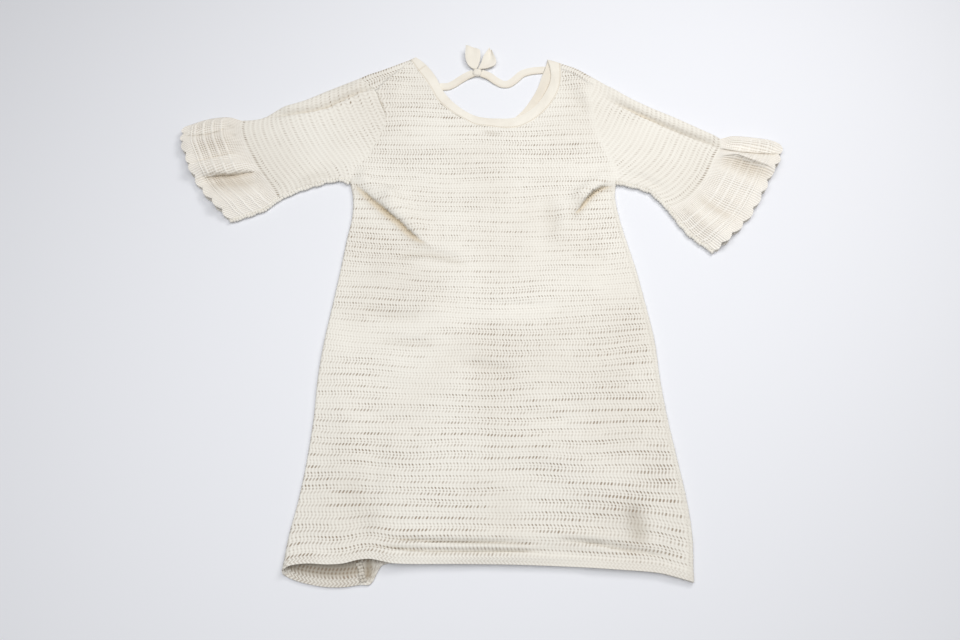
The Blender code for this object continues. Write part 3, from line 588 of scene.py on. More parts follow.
bodyKnitting = {
    "repeat": 12.6,   # four courses, millimetres
    "middle": 9.0,   # wale that runs straight up
    "waleWidth": [(-275, 3.9), (-100, 3.5), (60, 3.12), (125, 3.25), (340, 3.3)],
    # how far the courses rise at the left and right sides, from the hem up
    "smile": [
        (-275, -7, -18), (-228, 0, -11), (-160, 4.5, -1), (-75, 6, 7), (33, 12.5, 9), (120, 10, 8), (171, 6, 6),
        (230, 2, 6), (340, 0, 4),
    ],
    "halfWidth": 200.0, "settle": 60.0,   # above the band the courses leave the hem's own line
    "yokeLeft": [(-147, 284), (-127, 294), (-107, 316), (-87, 336)],   # the back's knit comes over to here
    "yokeRight": [(94, 330), (118, 314), (137, 303), (146, 300)],
    "yokeWale": 3.4, "sideBand": 7.0,
    # places where the holes stand more open: x, y, half sizes, how much more
    "openSpots": [
        (170, -180, 45, 70, 0.34), (191, -170, 16, 4, 1.6), (190, -184, 16, 4, 1.8), (-150, -190, 45, 70, 0.5),
        (12, 209, 110, 9, 0.7), (-37, 256, 7, 3, 1.6), (140, 217, 12, 4, 1.2), (112, 220, 6, 3, 1.2),
        (-107, 243, 14, 4, 0.9), (160, -213, 26, 26, 0.35), (40, -255, 90, 9, 0.5), (-116, 316, 40, 16, 0.7),
        (122, 316, 36, 16, 0.7), (-120, 120, 30, 50, 0.25), (178, -14, 26, 60, 0.12), (140, 160, 30, 60, 0.25),
        (84, 122, 10, 30, 0.5), (-56, 77, 40, 5, 0.6), (100, -30, 50, 60, -0.3), (-115, -25, 32, 50, 0.3),
    ],
    "closedRowFrom": -100.0,   # right of here the lowest open row has closed up
}


# Lines that a crease, a tuck and its tan shade share
underarmLeft = [(-135, 159), (-118, 144), (-105, 132), (-93, 122), (-77, 104)]
underarmRight = [(145, 165), (136, 161), (127, 153), (120, 144)]
hemLeftUpper = [(-98, -242), (-78, -244), (-52, -246), (-23, -247), (20, -247.5), (50, -248.5)]
hemLeftLower = [(-118, -250), (-92, -252.5), (-59, -256), (-23, -256.5), (30, -256), (63, -255.5)]
hemRight = [(84, -244.5), (97, -246), (115, -248), (130, -251), (145, -254.5), (163, -256), (182, -260)]
bodyMarks = {
    "creases": [   # points, lift, half width at the left and at the right of their direction
        ([(-148, 170), *underarmLeft, (-66, 96)], -3.0, 0.5, 7.0),
        ([(-146.5, 171.5), (-133.6, 160.6), (-116.6, 145.6), (-103.6, 133.6), (-91.6, 123.6), (-75.6, 105.6)],
         2.6, 9.0, 2.0),
        ([(-94, 75), (-66, 79), (-38, 74), (-18, 67)], -2.4, 5, 4),
        ([(-98, 85), (-64, 89), (-34, 84), (-12, 76)], 1.5, 9, 6),
        ([(-92, 66), (-62, 70), (-32, 65)], 1.0, 5, 9),
        ([(158, 166), *underarmRight, (113, 134)], -2.6, 6.0, 0.5),
        ([(158, 168), (145, 167), (134.8, 162.6), (125.4, 154.6), (118.3, 145), (111.5, 135)], 2.2, 2.0, 9.0),
        ([(81, 148), (82, 124), (86, 104)], -1.8, 8, 8),
        ([(98, 150), (98, 124), (102, 104)], 0.8, 9, 9),
        ([(-128, 14), (-101, 5), (-70, 1)], -1.6, 7, 7),
        ([(-110, -24), (-84, -28), (-59, -30)], -1.8, 7, 6),
        ([(-41, -43), (-20, -49), (0, -58)], -1.1, 7, 6),
        ([(-142, -66), (-104, -76), (-68, -90)], -0.8, 10, 9),
        ([(-125, -106), (-102, -113), (-82, -119)], -0.9, 9, 8),
        ([(-85, 36), (-48, 8), (-8, -28), (20, -44)], 1.5, 12, 10),
        ([(0, 18), (39, 16), (82, 14)], -1.2, 5, 4),
        ([(-4, 27), (40, 25), (90, 24)], 0.9, 8, 6),
        ([(-14, -51), (6, -55), (20, -58), (37, -61)], -1.4, 5, 5),
        ([(54, -61), (75, -66)], -0.9, 5, 4),
        ([(0, -8), (26, -14)], -0.8, 6, 6),
        ([(46, -111), (70, -115), (94, -116)], -1.2, 6, 5),
        ([(134, -41), (147, -28), (161, -15)], -1.0, 7, 8),
        ([(100, -94), (116, -112), (131, -131)], -1.1, 10, 8),
        ([(-104, -140), (-108, -155), (-115, -202), (-126, -251)], -1.4, 12, 14),
        ([(-86, -130), (-90, -142), (-100, -197), (-106, -246)], 1.5, 13, 12),
        ([(-150, -150), (-160, -200), (-172, -250)], 1.0, 14, 14),
        (hemLeftUpper, -2.4, 2.4, 1.2),
        ([(-112, -236), (-50, -240), (24, -241), (60, -242)], 1.2, 8, 3.0),
        (hemLeftLower, -2.3, 2.2, 1.2),
        ([(-96, -247), (-40, -251), (26, -251.5), (66, -252)], 2.2, 2.4, 2.4),
        ([(-116, -257), (-59, -261.5), (0, -262), (66, -261.5), (110, -262)], 1.7, 2.6, 4.0),
        (hemRight, -2.2, 5, 2),
        ([(76, -237), (120, -242), (150, -247), (190, -254)], 2.0, 8, 4),
        ([(161, -208), (163, -222), (165, -236), (164, -250)], -2.2, 9, 9),
        ([(146, -210), (146, -228), (147, -246)], 1.4, 8, 8),
        ([(186, -200), (184, -226), (190, -262)], 1.3, 12, 12),
        ([(-125, 293), (-120, 279), (-115, 265)], -2.2, 4.0, 3.0),
        ([(-110, 300), (-107, 284), (-103, 262)], 1.0, 7, 8),
        ([(109, 293), (121, 282), (133, 266)], -1.6, 9, 8),
        ([(104, 312), (118, 305), (131, 296)], 1.2, 7, 7),
        ([(-60, 215), (-10, 200), (60, 205)], 0.6, 14, 14),
        ([(-90, 250), (-70, 262), (-50, 266)], -0.5, 9, 9),
        ([(20, -170), (60, -172), (110, -168)], -0.6, 8, 8),
        ([(-60, -170), (-20, -176), (30, -178)], 0.6, 12, 9),
        ([(60, 60), (100, 66), (140, 82)], 0.7, 12, 12),
        ([(40, 100), (90, 104), (130, 118)], -0.5, 10, 10),
        ([(-100, -60), (-40, -76), (30, -84)], 0.5, 14, 12),
    ],
    "tucks": [   # points, side that lies on top, overlap, lift of the lip, depth below it, reach
        ([(-148, 170), *underarmLeft, (-64, 94)], 1, 1.8, 1.4, 1.2, 9),
        ([(160, 167), *underarmRight, (110, 130)], -1, 1.5, 1.1, 1.1, 9),
        ([(-128, 297), (-125, 293), (-120, 280), (-115, 267), (-114, 256)], 1, 1.4, 1.3, 1.6, 6),
        ([(-100, -242), (-78, -244), (-52, -246), (20, -247.5), (52, -248.5)], -1, 0.8, 0.7, 1.0, 5),
        ([(-120, -250), (-92, -252.5), (-59, -256), (30, -256), (66, -255.5)], -1, 0.8, 0.7, 1.0, 5),
        ([(84, -244.5), (115, -248), (145, -254.5), (190, -261)], -1, 0.8, 0.7, 1.0, 5),
    ],
    "paintedShades": [   # painted shade where cloth faces cloth, tan along the crease as if lit by light bounced between them: points, strength, half widths
        ([(-147, 170), *underarmLeft, (-60, 90)], 0.85, 0.6, 8.5),
        ([(158, 166), *underarmRight, (108, 126)], 0.70, 6.0, 0.6),
        ([(124, 148), (114, 136), (104, 124)], 0.20, 7.0, 7.0),
        ([(-125, 293), (-120, 280), (-115, 267), (-114, 256)], 0.45, 2.4, 0.8),
        ([(109, 293), (121, 282), (133, 266)], 0.12, 7.0, 7.0),
        (hemLeftUpper, 0.62, 1.8, 0.7),
        (hemLeftLower, 0.62, 1.7, 0.7),
        (hemRight, 0.40, 3.0, 0.8),
        ([(160, -206), (162, -220), (165, -234), (166, -250)], 0.44, 9.0, 11.0),
        ([(-94, 74), (-66, 78), (-38, 73), (-18, 66)], 0.26, 3.5, 5.0),
        ([(81, 152), (82, 124), (86, 98)], 0.15, 9.0, 9.0),
        ([(-140, -185), (-120, -215), (-108, -240)], 0.10, 12.0, 12.0),
        ([(5, 238), (14, 236), (24, 235)], 0.28, 2.5, 2.5),
        ([(-132, 14), (-101, 4), (-66, 0)], 0.12, 8.0, 6.0),
        ([(-114, -26), (-84, -30), (-50, -32)], 0.12, 8.0, 6.0),
        ([(-24, -50), (6, -56), (40, -61)], 0.10, 6.0, 6.0),
    ],
    "under": [   # the same kind of soft marks on the hidden underside
        ([(-90, 60), (-20, 48), (70, 55)], 0.35, 12, 12),
        ([(-60, -60), (20, -72), (110, -60)], 0.35, 14, 12),
        ([(-40, -160), (50, -150), (140, -165)], 0.3, 14, 14),
        ([(30, 160), (70, 120), (110, 100)], 0.35, 10, 10),
    ],
}


def moreOpen(openness, x, y, spots):   # spots: x, y, half sizes, how much more open
    for spotX, spotY, width, height, more in spots:
        openness = openness + more * np.exp(-((x - spotX) / width)**2 - ((y - spotY) / height)**2)
    return openness


def columnOf(table, y, column):
    return np.interp(y, [row[0] for row in table], [row[column] for row in table])


def bodyKnit(x, y, hem, front=True):   # wale and course numbers, and how open the holes are
    k = bodyKnitting
    wale = (x - k["middle"]) / columnOf(k["waleWidth"], y, 1)
    share = (x - k["middle"]) / k["halfWidth"]
    smile = np.where(share < 0, columnOf(k["smile"], y, 1), columnOf(k["smile"], y, 2)) * share**2
    hemLine = smoothLine(hem, 200)
    bandTop = np.interp(x, hemLine[:, 0], hemLine[:, 1]) + clothSizes["bandWidth"]
    bandMiddle = np.interp(k["middle"], hemLine[:, 0], hemLine[:, 1]) + clothSizes["bandWidth"]
    away = np.clip((y - bandTop) / k["settle"], 0, 1)
    away = away * away * (3 - 2 * away)
    course = (y - ((1 - away) * bandTop + away * (bandMiddle + smile))) / k["repeat"]
    wander = 0.07 * np.sin(x / 31 + y / 19) + 0.05 * np.sin(x / 15 - y / 27 + 1) * np.sin(y / 33)
    course = course + away * wander
    openness = np.interp(y, [-275, -100, 60, 340], [1.35, 1.12, 0.85, 0.85])
    for side in ("Left", "Right"):
        yoke, shoulder = k["yoke" + side], bodyCut["shoulder" + side]
        inside = (x > yoke[0][0] - 4) & (x < yoke[-1][0] + 4)
        seam = np.interp(x, [point[0] for point in yoke], [point[1] for point in yoke])
        above = inside & (y > seam) & front
        away, _, share = nearLine(x, y, shoulder)
        length = pathLength(np.array(shoulder, float))[-1]
        course = np.where(above, -away / k["repeat"] + 60.2, course)
        wale = np.where(above, share * length / k["yokeWale"], wale)
        openness = np.where(inside & front, openness * np.clip(np.abs(y - seam) / 1.6 - 0.2, 0, 1), openness)
    openness = moreOpen(openness, x, y, k["openSpots"])
    closing = np.clip((x - k["closedRowFrom"]) / 25, 0, 0.6) * (course < 0.25)
    return wale, course, openness * (1 - closing)


def bodySides():
    cut = bodyCut
    left = smoothLine([(row[1], row[0]) for row in cut["side"]], 120)
    right = smoothLine([cut["hemCornerRight"]] + [(row[2], row[0]) for row in cut["side"][1:]], 120)
    return left, right


def sideFractions():
    left, _ = bodySides()
    width = clothSizes["bandWidth"]
    band = np.append(np.linspace(0, width, bodyCut["bandRows"]), width + 1.2) / pathLength(left)[-1]
    rows = np.linspace(0, 1, bodyCut["sideRows"])[1:]**1.12   # closer near the hem
    return np.concatenate([band, band[-1] + (1 - band[-1]) * rows])


def bodyArmholes():
    cells = bodyCut["armholeCells"]
    return smoothLine(bodyCut["armholeLeft"], cells), smoothLine(bodyCut["armholeRight"], cells)


def bodyPlan(leftSide, rightSide, hem, neck):
    cut = bodyCut
    armLeft, armRight = bodyArmholes()
    left, right = np.vstack([leftSide[:-1], armLeft]), np.vstack([rightSide[:-1], armRight])
    steps = np.linspace(0, 1, cut["shoulderCells"] + 1)
    rise = (neck[:, 1] - neck[:, 1].min()) / np.ptp(neck[:, 1])
    spread = neck[:, 0] + cut["neckSpread"] * rise**2 * np.sign(neck[:, 0] - neck[np.argmin(rise), 0])
    overNeck = (spread - left[-1, 0]) / (right[-1, 0] - left[-1, 0])
    across = np.concatenate([steps * overNeck[0], overNeck[1:-1], 1 - steps[::-1] * (1 - overNeck[-1])])
    shoulders = [alongLine(smoothLine(cut[side], 120), steps) for side in ("shoulderLeft", "shoulderRight")]
    top = np.vstack([shoulders[0], neck[1:-1], shoulders[1]])
    top[0], top[-1] = left[-1], right[-1]
    hemLine = smoothLine(hem, 200)
    bottomX = left[0, 0] + (right[0, 0] - left[0, 0]) * across
    bottom = np.column_stack([bottomX, np.interp(bottomX, hemLine[:, 0], hemLine[:, 1])])
    up = (left[:, 1] - left[0, 1]) / np.ptp(left[:, 1])
    plan = fourSided(bottom, top, left, right, across, up**2)
    straight = []
    for side in (left, right):
        line = side[:, 0].copy()
        arm = slice(len(leftSide) - 1, None)
        line[arm] = np.interp(side[arm, 1], side[[arm.start, -1], 1], side[[arm.start, -1], 0])
        straight.append(line[:, None])
    x = (1 - across) * straight[0] + across * straight[1]
    x += (1 - across)**cut["armholePull"] * (left[:, :1] - straight[0])
    x += across**cut["armholePull"] * (right[:, :1] - straight[1])
    plan[..., 0] = x + up[:, None]**cut["neckPull"] * (top[:, 0] - x[-1])
    return plan


def bandHalf(rows, columns):
    half = np.full((rows, columns), clothSizes["wall"] / 2)
    half[:bodyCut["bandRows"]] = clothSizes["bandWall"] / 2
    return half


def courseRelief(course, size):   # the closed rows stand up between the open ones
    return np.where(course > 0, size * np.cos(2 * np.pi * (course + 0.1)), 0.6 * size)


def frontPanel():
    cut, sizes = bodyCut, clothSizes
    turnCount = len(sizes["edgeTurns"])
    fractions = sideFractions()
    leftSide, rightSide = (alongLine(line, fractions) for line in bodySides())
    plan = bodyPlan(leftSide, rightSide, cut["frontHem"], smoothLine(cut["neckFront"], cut["neckCells"]))
    isSide = np.arange(len(plan)) < len(fractions)
    rolled = isSide & (plan[:, 0, 1] < cut["rollEnd"])
    foldCrest = upperHeight(plan[:, 0, 0] + sizes["foldCrestIn"], plan[:, 0, 1])
    reach = np.where(rolled, sizes["edgeRound"] + sizes["foldRounding"] * (foldCrest - sizes["upper"]),
                     sizes["edgeRound"])
    sheet = roundSides(flatSheet(plan), isSide, reach)
    shoulder = np.ones(sheet[0].shape[1], bool)
    firstNeck = cut["shoulderCells"] + turnCount
    shoulder[firstNeck:-firstNeck] = False
    plan, rise, lean = turned(flipped(roundEdge(flipped(turned(sheet)), shoulder)))
    rows, columns = plan.shape[:2]
    x, y = plan[..., 0], plan[..., 1]
    half = bandHalf(rows, columns)
    extra = half - sizes["wall"] / 2
    wale, course, openness = bodyKnit(x, y, cut["frontHem"])
    edge = turnCount - 1
    fade = np.clip(np.minimum(x - x[:, :1], x[:, -1:] - x) / cut["sideFade"], 0, 1)
    crest = upperHeight(x, y) + extra
    crest += fade * (creaseLift(x, y, bodyMarks["creases"]) + softUneven(x, y, cut["uneven"])
                     + courseRelief(course, cut["relief"]))
    plan, crest = layTucks(plan, crest, bodyMarks["tucks"])
    crest = np.maximum(crest, sizes["leastUpper"] - 0.2)
    crest[:, :edge] = crest[:, edge:edge + 1]
    middle = (crest[:, :1] + half[:, :1]) / 2
    low = np.full((rows, columns), sizes["rimHeight"]) + 2 * extra
    underRows = int(np.count_nonzero(rolled))
    low[:underRows, :turnCount] = middle[:underRows]
    points = np.dstack([plan, low + (crest - low) * rise])

    # the part rolled round the left fold, down to its seam on the underside
    reach = reach[:underRows, None]
    rolls = cut["rolls"]
    inset = np.interp(y[:underRows, :1], [row[0] for row in rolls], [row[1] for row in rolls])
    turns = -sizes["edgeTurns"][1:]
    bend = reach + sizes["wall"] / 2
    out = np.concatenate([sizes["wall"] / 2 + reach * (1 - np.cos(turns)),
                          bend + (inset - bend) * np.linspace(0, 1, cut["rollCells"] + 1)[1:]], axis=1)
    sink = np.concatenate([-np.sin(turns), np.ones(cut["rollCells"])])
    hem = smoothLine(cut["rolledHem"], 120)
    underX = x[:underRows, :1] + out - sizes["wall"] / 2
    droop = np.interp(x[0, 0] + out[0], hem[:, 0], hem[:, 1]) - y[0, 0]
    settle = np.clip(1 - (y[:underRows, :1] - y[0, 0]) / cut["droopReach"], 0, 1)**2
    underY = y[:underRows, :1] + droop * settle
    underZ = middle[:underRows] - (middle[:underRows] - half[:underRows, :1]) * sink
    underPoints = np.dstack([underX, underY, underZ])
    leanX = np.broadcast_to(-np.sqrt(1 - sink**2), underX.shape)
    underLean = np.dstack([leanX, 0 * leanX, np.broadcast_to(-sink, underX.shape)])
    first, width = rows * columns, underX.shape[1]
    waleWidth = columnOf(bodyKnitting["waleWidth"], y[:underRows, :1], 1)
    fromHem = y[:underRows, :1] - y[0, 0]
    nearMouth = np.clip(1 - fromHem / 50, 0, 1) * np.clip((out - 3) / 12, 0, 1)
    band = cut["mouthBand"]
    mouthCourse = np.where(fromHem < band, fromHem / band * 0.62 - 0.7, (fromHem - band) / cut["mouthRepeat"])
    underCourse = (1 - nearMouth) * course[:underRows, :1] + nearMouth * mouthCourse
    underKnit = np.dstack([wale[:underRows, :1] - out / waleWidth, underCourse, 1.5 + 1.6 * nearMouth])

    def underIndex(row, column):   # column -1 is the fold itself
        return row * columns if column < 0 else first + row * width + column

    faces = gridFaces(rows, columns)
    for row in range(underRows):
        for column in range(-1, width - 1):
            start = (underIndex(row, column + 1), underIndex(row, column))
            if row + 1 < underRows:
                faces.append(start + (underIndex(row + 1, column), underIndex(row + 1, column + 1)))
            else:
                faces.append(start + (underRows * columns,))
    nearRight = np.clip((x[:, -1:] - x) / bodyKnitting["sideBand"] - 0.35, 0.12, 1)
    knit = np.dstack([wale, course, openness * nearRight]).reshape(-1, 3)
    # painted shade of the front, from its crease marks and beside the chain of stitches
    tint = warmTint(x, y, bodyMarks["paintedShades"])
    chain = sideways(bodySides()[1], cut["chainIn"])[::4]
    tint = np.maximum(tint, cut["chainTint"] * np.exp(-(nearLine(x, y, chain)[0] / cut["chainHalf"])**2))
    # painted shade inside the hem's mouth, rising just above its band and fading further in
    least, more = cut["mouthShade"]
    underShade = least + more * np.clip((fromHem - 6) / 3.5, 0, 1)
    underShade = underShade * np.clip(1 - fromHem / cut["mouthReach"], 0, 1) + 0 * out
    allPoints = np.vstack([points.reshape(-1, 3), underPoints.reshape(-1, 3)])
    leans = np.vstack([upright(lean).reshape(-1, 3), underLean.reshape(-1, 3)])
    halves = np.concatenate([half.ravel(), half[:underRows, :1].repeat(width, axis=1).ravel()])
    piece = clothPiece("frontBody", allPoints, leans, faces, bodyLace, ["front_panel"],
                       np.vstack([knit, underKnit.reshape(-1, 3)]),
                       np.concatenate([tint.ravel(), np.broadcast_to(underShade, underX.shape).ravel()]), halves)
    return piece, underPoints[:, -1, :2]


def backPanel(seam):
    cut = bodyCut
    fractions = sideFractions()
    leftSide, rightSide = (alongLine(line, fractions) for line in bodySides())
    leftSide[:len(seam)] = seam + (clothSizes["seamGap"], 0)
    leftSide[len(seam), 0] += cut["rollClearance"]
    plan = bodyPlan(leftSide, rightSide, cut["backHem"], smoothLine(cut["neckBack"], cut["neckCells"]))
    x, y = plan[..., 0], plan[..., 1]
    half = bandHalf(*plan.shape[:2])
    wale, course, openness = bodyKnit(x, y, cut["backHem"], front=False)
    lift = np.maximum(creaseLift(x, y, bodyMarks["under"]), 0)
    points = np.dstack([plan, half + lift])
    # painted shade on the back's turned edge in the mouth
    flapX, flapHalf, flapY, flapReach = cut["flapShade"]
    flap = np.exp(-((x - flapX) / flapHalf)**2) * np.clip((y - flapY + 11) / 6, 0, 1)
    flap = flap * np.clip(1 - (y - flapY) / flapReach, 0, 1)
    return clothPiece("backBody", points, upright(np.zeros(plan.shape)), gridFaces(*plan.shape[:2]), bodyLace,
                      ["back_panel"], np.dstack([wale, course, openness]), flap, half.ravel())


frontBody, rolledSeam = frontPanel()
backBody = backPanel(rolledSeam)
print("dress: body laid,", len(frontBody.data.polygons) + len(backBody.data.polygons), "faces")


# Sleeves and bell cuffs, flattened tubes

sleeveLipLeft = [(-208, 262), (-182, 269), (-152, 287)]
sleeveLipRight = [(178, 267), (196, 256), (226, 240.5), (255, 227)]
sleeveCut = {   # creases, tucks and painted shades as in bodyMarks
    "topLeft": [(-147, 313), (-184, 295), (-212, 281), (-240, 271), (-258, 259), (-272, 255), (-286, 254)],
    "underLeft": [(-153, 171), (-163, 175), (-177, 173.5), (-192, 169), (-214, 161), (-237, 149)],
    "topRight": [(142, 312), (162, 298), (182, 284), (207, 270), (236, 256), (262, 242), (287, 229)],
    "underRight": [(160, 171), (179, 167), (199, 160), (210, 149), (220, 137)],
    "rows": 56, "repeat": 11.6, "wales": 40, "relief": 0.16, "uneven": 0.35,
    "creases": [
        ([(-244, 257), *sleeveLipLeft, (-126, 298)], -2.8, 4.5, 0.5),
        ([(-150, 284), (-236, 260)], 1.2, 5, 5),
        ([(-244, 267), (-210, 272), (-184, 279), (-154, 297), (-128, 309)], 1.1, 4, 4),
        ([(-244, 255), (-208, 260), (-182, 267), (-152, 285), (-126, 296)], 1.9, 2.0, 9.0),
        ([(-150, 240), (-190, 228), (-240, 222)], 0.7, 12, 12),
        ([(-160, 190), (-190, 186), (-230, 172)], -1.0, 6, 5),
        ([(159, 279), *sleeveLipRight, (284, 217)], -1.9, 4.5, 0.7),
        ([(166, 280), (276, 222)], 1.3, 5, 5),
        ([(162, 285), (199, 262), (229, 246.5), (270, 227)], 1.4, 6, 3),
        ([(164, 268), (196, 249), (240, 227), (270, 214)], 0.8, 4, 8),
        ([(160, 240), (200, 222), (240, 196)], 0.7, 12, 12),
        ([(176, 178), (200, 170), (222, 150)], -1.2, 6, 4),
        ([(166, 186), (196, 182), (226, 160)], 1.0, 7, 6),
    ],
    "openSpots": [
        (-150, 276, 22, 14, 1.0), (-190, 280, 50, 9, 0.9), (166, 272, 16, 14, 0.9), (215, 262, 50, 9, 0.5),
        (-166, 186, 16, 9, 0.9), (168, 190, 16, 10, 1.0), (-130, 250, 14, 20, 0.6), (-288, 244, 12, 18, -1.8),
        (-276, 216, 8, 12, -0.8),
    ],
    "tucks": [([(-248, 257), *sleeveLipLeft, (-128, 299)], -1, 1.2, 1.0, 1.4, 8),
              ([(156, 281), *sleeveLipRight, (286, 215)], -1, 1.0, 0.9, 1.2, 7)],
    "paintedShades": [([(-250, 257), *sleeveLipLeft, (-128, 299)], 0.42, 8.0, 0.7),
             ([(156, 281), *sleeveLipRight, (290, 214)], 0.50, 7.0, 0.8),
             ([(-164, 176), (-190, 178), (-214, 166)], 0.12, 5.0, 5.0)],
}
cuffPleatLeft = [(-308, 180), (-292, 181), (-276, 184), (-265, 184)]
cuffLipLeft = [(-342, 189), (-322, 196), (-302, 205), (-290, 209)]
cuffTopLeft = [(-354, 231), (-341, 231), (-322, 234), (-304, 242)]
cuffLipRight = [(285, 215), (305, 212.5), (330, 210.5)]
cuffCut = {
    "seamLeft": [
        (-286, 254), (-287, 243), (-284, 231), (-278, 217), (-270, 202), (-262, 188), (-251, 172), (-242, 159),
        (-237, 149),
    ],
    "topLeft": [(-286, 254), (-303, 257.5), (-325, 255), (-342, 248), (-354, 242)],
    "underLeft": [(-237, 149), (-250, 137), (-271, 128), (-290, 121)],
    "scallopsLeft": [
        (-356, 237), (-357, 227), (-354, 214), (-347, 197), (-341, 183), (-333, 168), (-321, 152), (-307, 137),
        (-296, 126),
    ],
    "seamRight": [
        (287, 229), (286, 217), (279, 204), (274, 193), (266, 177), (256, 163), (245, 151), (233, 142),
        (220, 137),
    ],
    "topRight": [(287, 229), (303, 232), (331, 228.5), (346, 225), (357, 219)],
    "underRight": [(220, 137), (231, 119), (243, 103), (257, 91), (268, 82)],
    "scallopsRight": [
        (359, 212), (354, 196), (344, 179), (335, 161), (325, 143), (314, 125), (300, 109), (284, 93),
        (273, 84),
    ],
    "cellsPerScallop": 28, "ribsPerScallop": 7, "scallopDepth": 4.0, "rows": 40,
    "swell": 3.6, "swellReach": 18.0, "length": 60.0, "foldStart": 0.1, "foldGrowth": 2.5,
    "ribRise": 0.30, "ridgeRise": 0.45, "ridgeHalf": 1.1, "openness": 0.34,
    "openSpots": [
        (-320, 217, 28, 12, 0.60), (-296, 166, 28, 12, 0.5), (318, 190, 26, 10, 0.4), (280, 135, 18, 14, 0.4),
    ],
    "folds": [
        (-360, 240, -300, 252, 8, 4.0), (-344, 218, -306, 226, 10, 4.2), (-346, 186, -272, 192, 8, 5.5),
        (-336, 168, -266, 175, 6, -3.0), (-312, 138, -258, 152, 11, 4.6), (364, 220, 300, 226, 7, 4.0),
        (346, 210, 292, 219, 5, -3.2), (350, 184, 288, 208, 9, 5.6), (326, 156, 276, 186, 9, 3.4),
        (304, 118, 262, 156, 7, -2.6), (284, 92, 242, 130, 10, 4.4),
    ],
    "creases": [
        (cuffTopLeft, -0.9, 4.0, 4.0),
        ([(-340, 189), (-322, 196), (-302, 205), (-290, 209)], -2.0, 6, 1.6),
        ([(-330, 175), (-314, 180), (-292, 181), (-274, 185), (-258, 180)], -4.2, 0.8, 13.0),
        ([(-334, 181), (-312, 187), (-290, 189), (-268, 190)], 2.0, 6, 5),
        ([*cuffLipRight, (354, 208)], -2.2, 1.8, 5),
        ([(284, 199), (302, 198), (319, 191), (340, 181)], -2.6, 3.0, 14),
        ([(282, 204), (302, 204), (318, 197), (342, 187)], 2.0, 5, 3.5),
        ([(256, 150), (268, 141), (280, 132), (289, 124)], -2.2, 5, 7),
        ([(262, 162), (276, 152), (296, 138), (312, 132)], 1.4, 7, 6),
        ([(238, 128), (250, 114), (264, 98)], 1.4, 5, 5),
    ],
    "tucks": [
        ([(-324, 176), *cuffPleatLeft], 1, 2.2, 1.6, 1.8, 9),
        (cuffLipLeft, -1, 1.0, 0.8, 1.0, 7),
        (cuffTopLeft, 1, 0.5, 0.3, 0.5, 6),
        ([*cuffLipRight, (354, 208)], 1, 1.8, 1.2, 1.6, 7),
        ([(284, 203), (302, 203), (317, 196), (342, 185)], 1, 1.0, 0.9, 0.9, 8),
    ],
    # painted shade under the cuffs' pleats and lips: points, strength, half widths
    "paintedShades": [
        ([(-326, 176), *cuffPleatLeft], 0.70, 0.6, 9.0),
        ([(-320, 168), (-302, 172), (-284, 172), (-262, 172)], 0.44, 8.0, 13.0),
        (cuffLipLeft, 0.22, 6.0, 0.9),
        ([(-338, 205), (-322, 214), (-300, 226)], 0.10, 9.0, 9.0),
        (cuffTopLeft, 0.16, 1.5, 3.0),
        ([*cuffLipRight, (350, 208)], 0.62, 0.9, 3.6),
        ([(284, 200), (302, 198), (318, 190), (342, 179)], 0.46, 3.0, 14.0),
        ([(256, 150), (268, 141), (280, 132), (291, 122)], 0.30, 5.0, 7.0),
        ([(236, 138), (252, 118), (266, 100)], 0.12, 5.0, 5.0),
    ],
}


def tubePiece(name, side, node, plan, crest, knit, material, cut):
    sheet = roundSides(flatSheet(plan))
    plan, rise, lean = sheet
    coords = knit(plan)
    height = crest(plan[..., 0], plan[..., 1], coords)
    shade = warmTint(plan[..., 0], plan[..., 1], cut["paintedShades"])
    edge = len(clothSizes["edgeTurns"])
    tucked, height = layTucks(plan, height, cut["tucks"])
    plan = np.concatenate([plan[:, :edge], tucked[:, edge:-edge], plan[:, -edge:]], axis=1)
    height = np.maximum(height, clothSizes["leastUpper"] - 0.2)
    lower = clothSizes["lower"]
    middle = (height + lower) / 2
    over = np.dstack([plan, middle + (height - middle) * rise])
    below = np.dstack([sheet[0], middle - (middle - lower) * rise])
    points = np.concatenate([over, below[:, -2:0:-1]], axis=1)
    leans = np.concatenate([upright(lean), upright(lean, -1.0)[:, -2:0:-1]], axis=1)
    allKnit = np.concatenate([coords, coords[:, -2:0:-1]], axis=1)
    shade = np.concatenate([shade, 0 * shade[:, -2:0:-1]], axis=1)
    faces = gridFaces(*points.shape[:2], closed=True)
    if side == "Left":
        faces = [face[::-1] for face in faces]
    return clothPiece(name, points, leans, faces, material, [node], allKnit, shade.ravel())


def columnLengths(plan):   # distance down each column from its last row
    steps = np.sqrt((np.diff(plan, axis=0)**2).sum(-1))
    return np.vstack([np.cumsum(steps[::-1], axis=0)[::-1], np.zeros(plan.shape[1])])


def betweenSeams(start, end, upperEdge, lowerEdge, across, down):   # the edges begin and end at the seams
    upperEdge[0], upperEdge[-1] = start[0], end[0]
    lowerEdge[0], lowerEdge[-1] = start[-1], end[-1]
    return fourSided(start, end, upperEdge, lowerEdge, across, down)


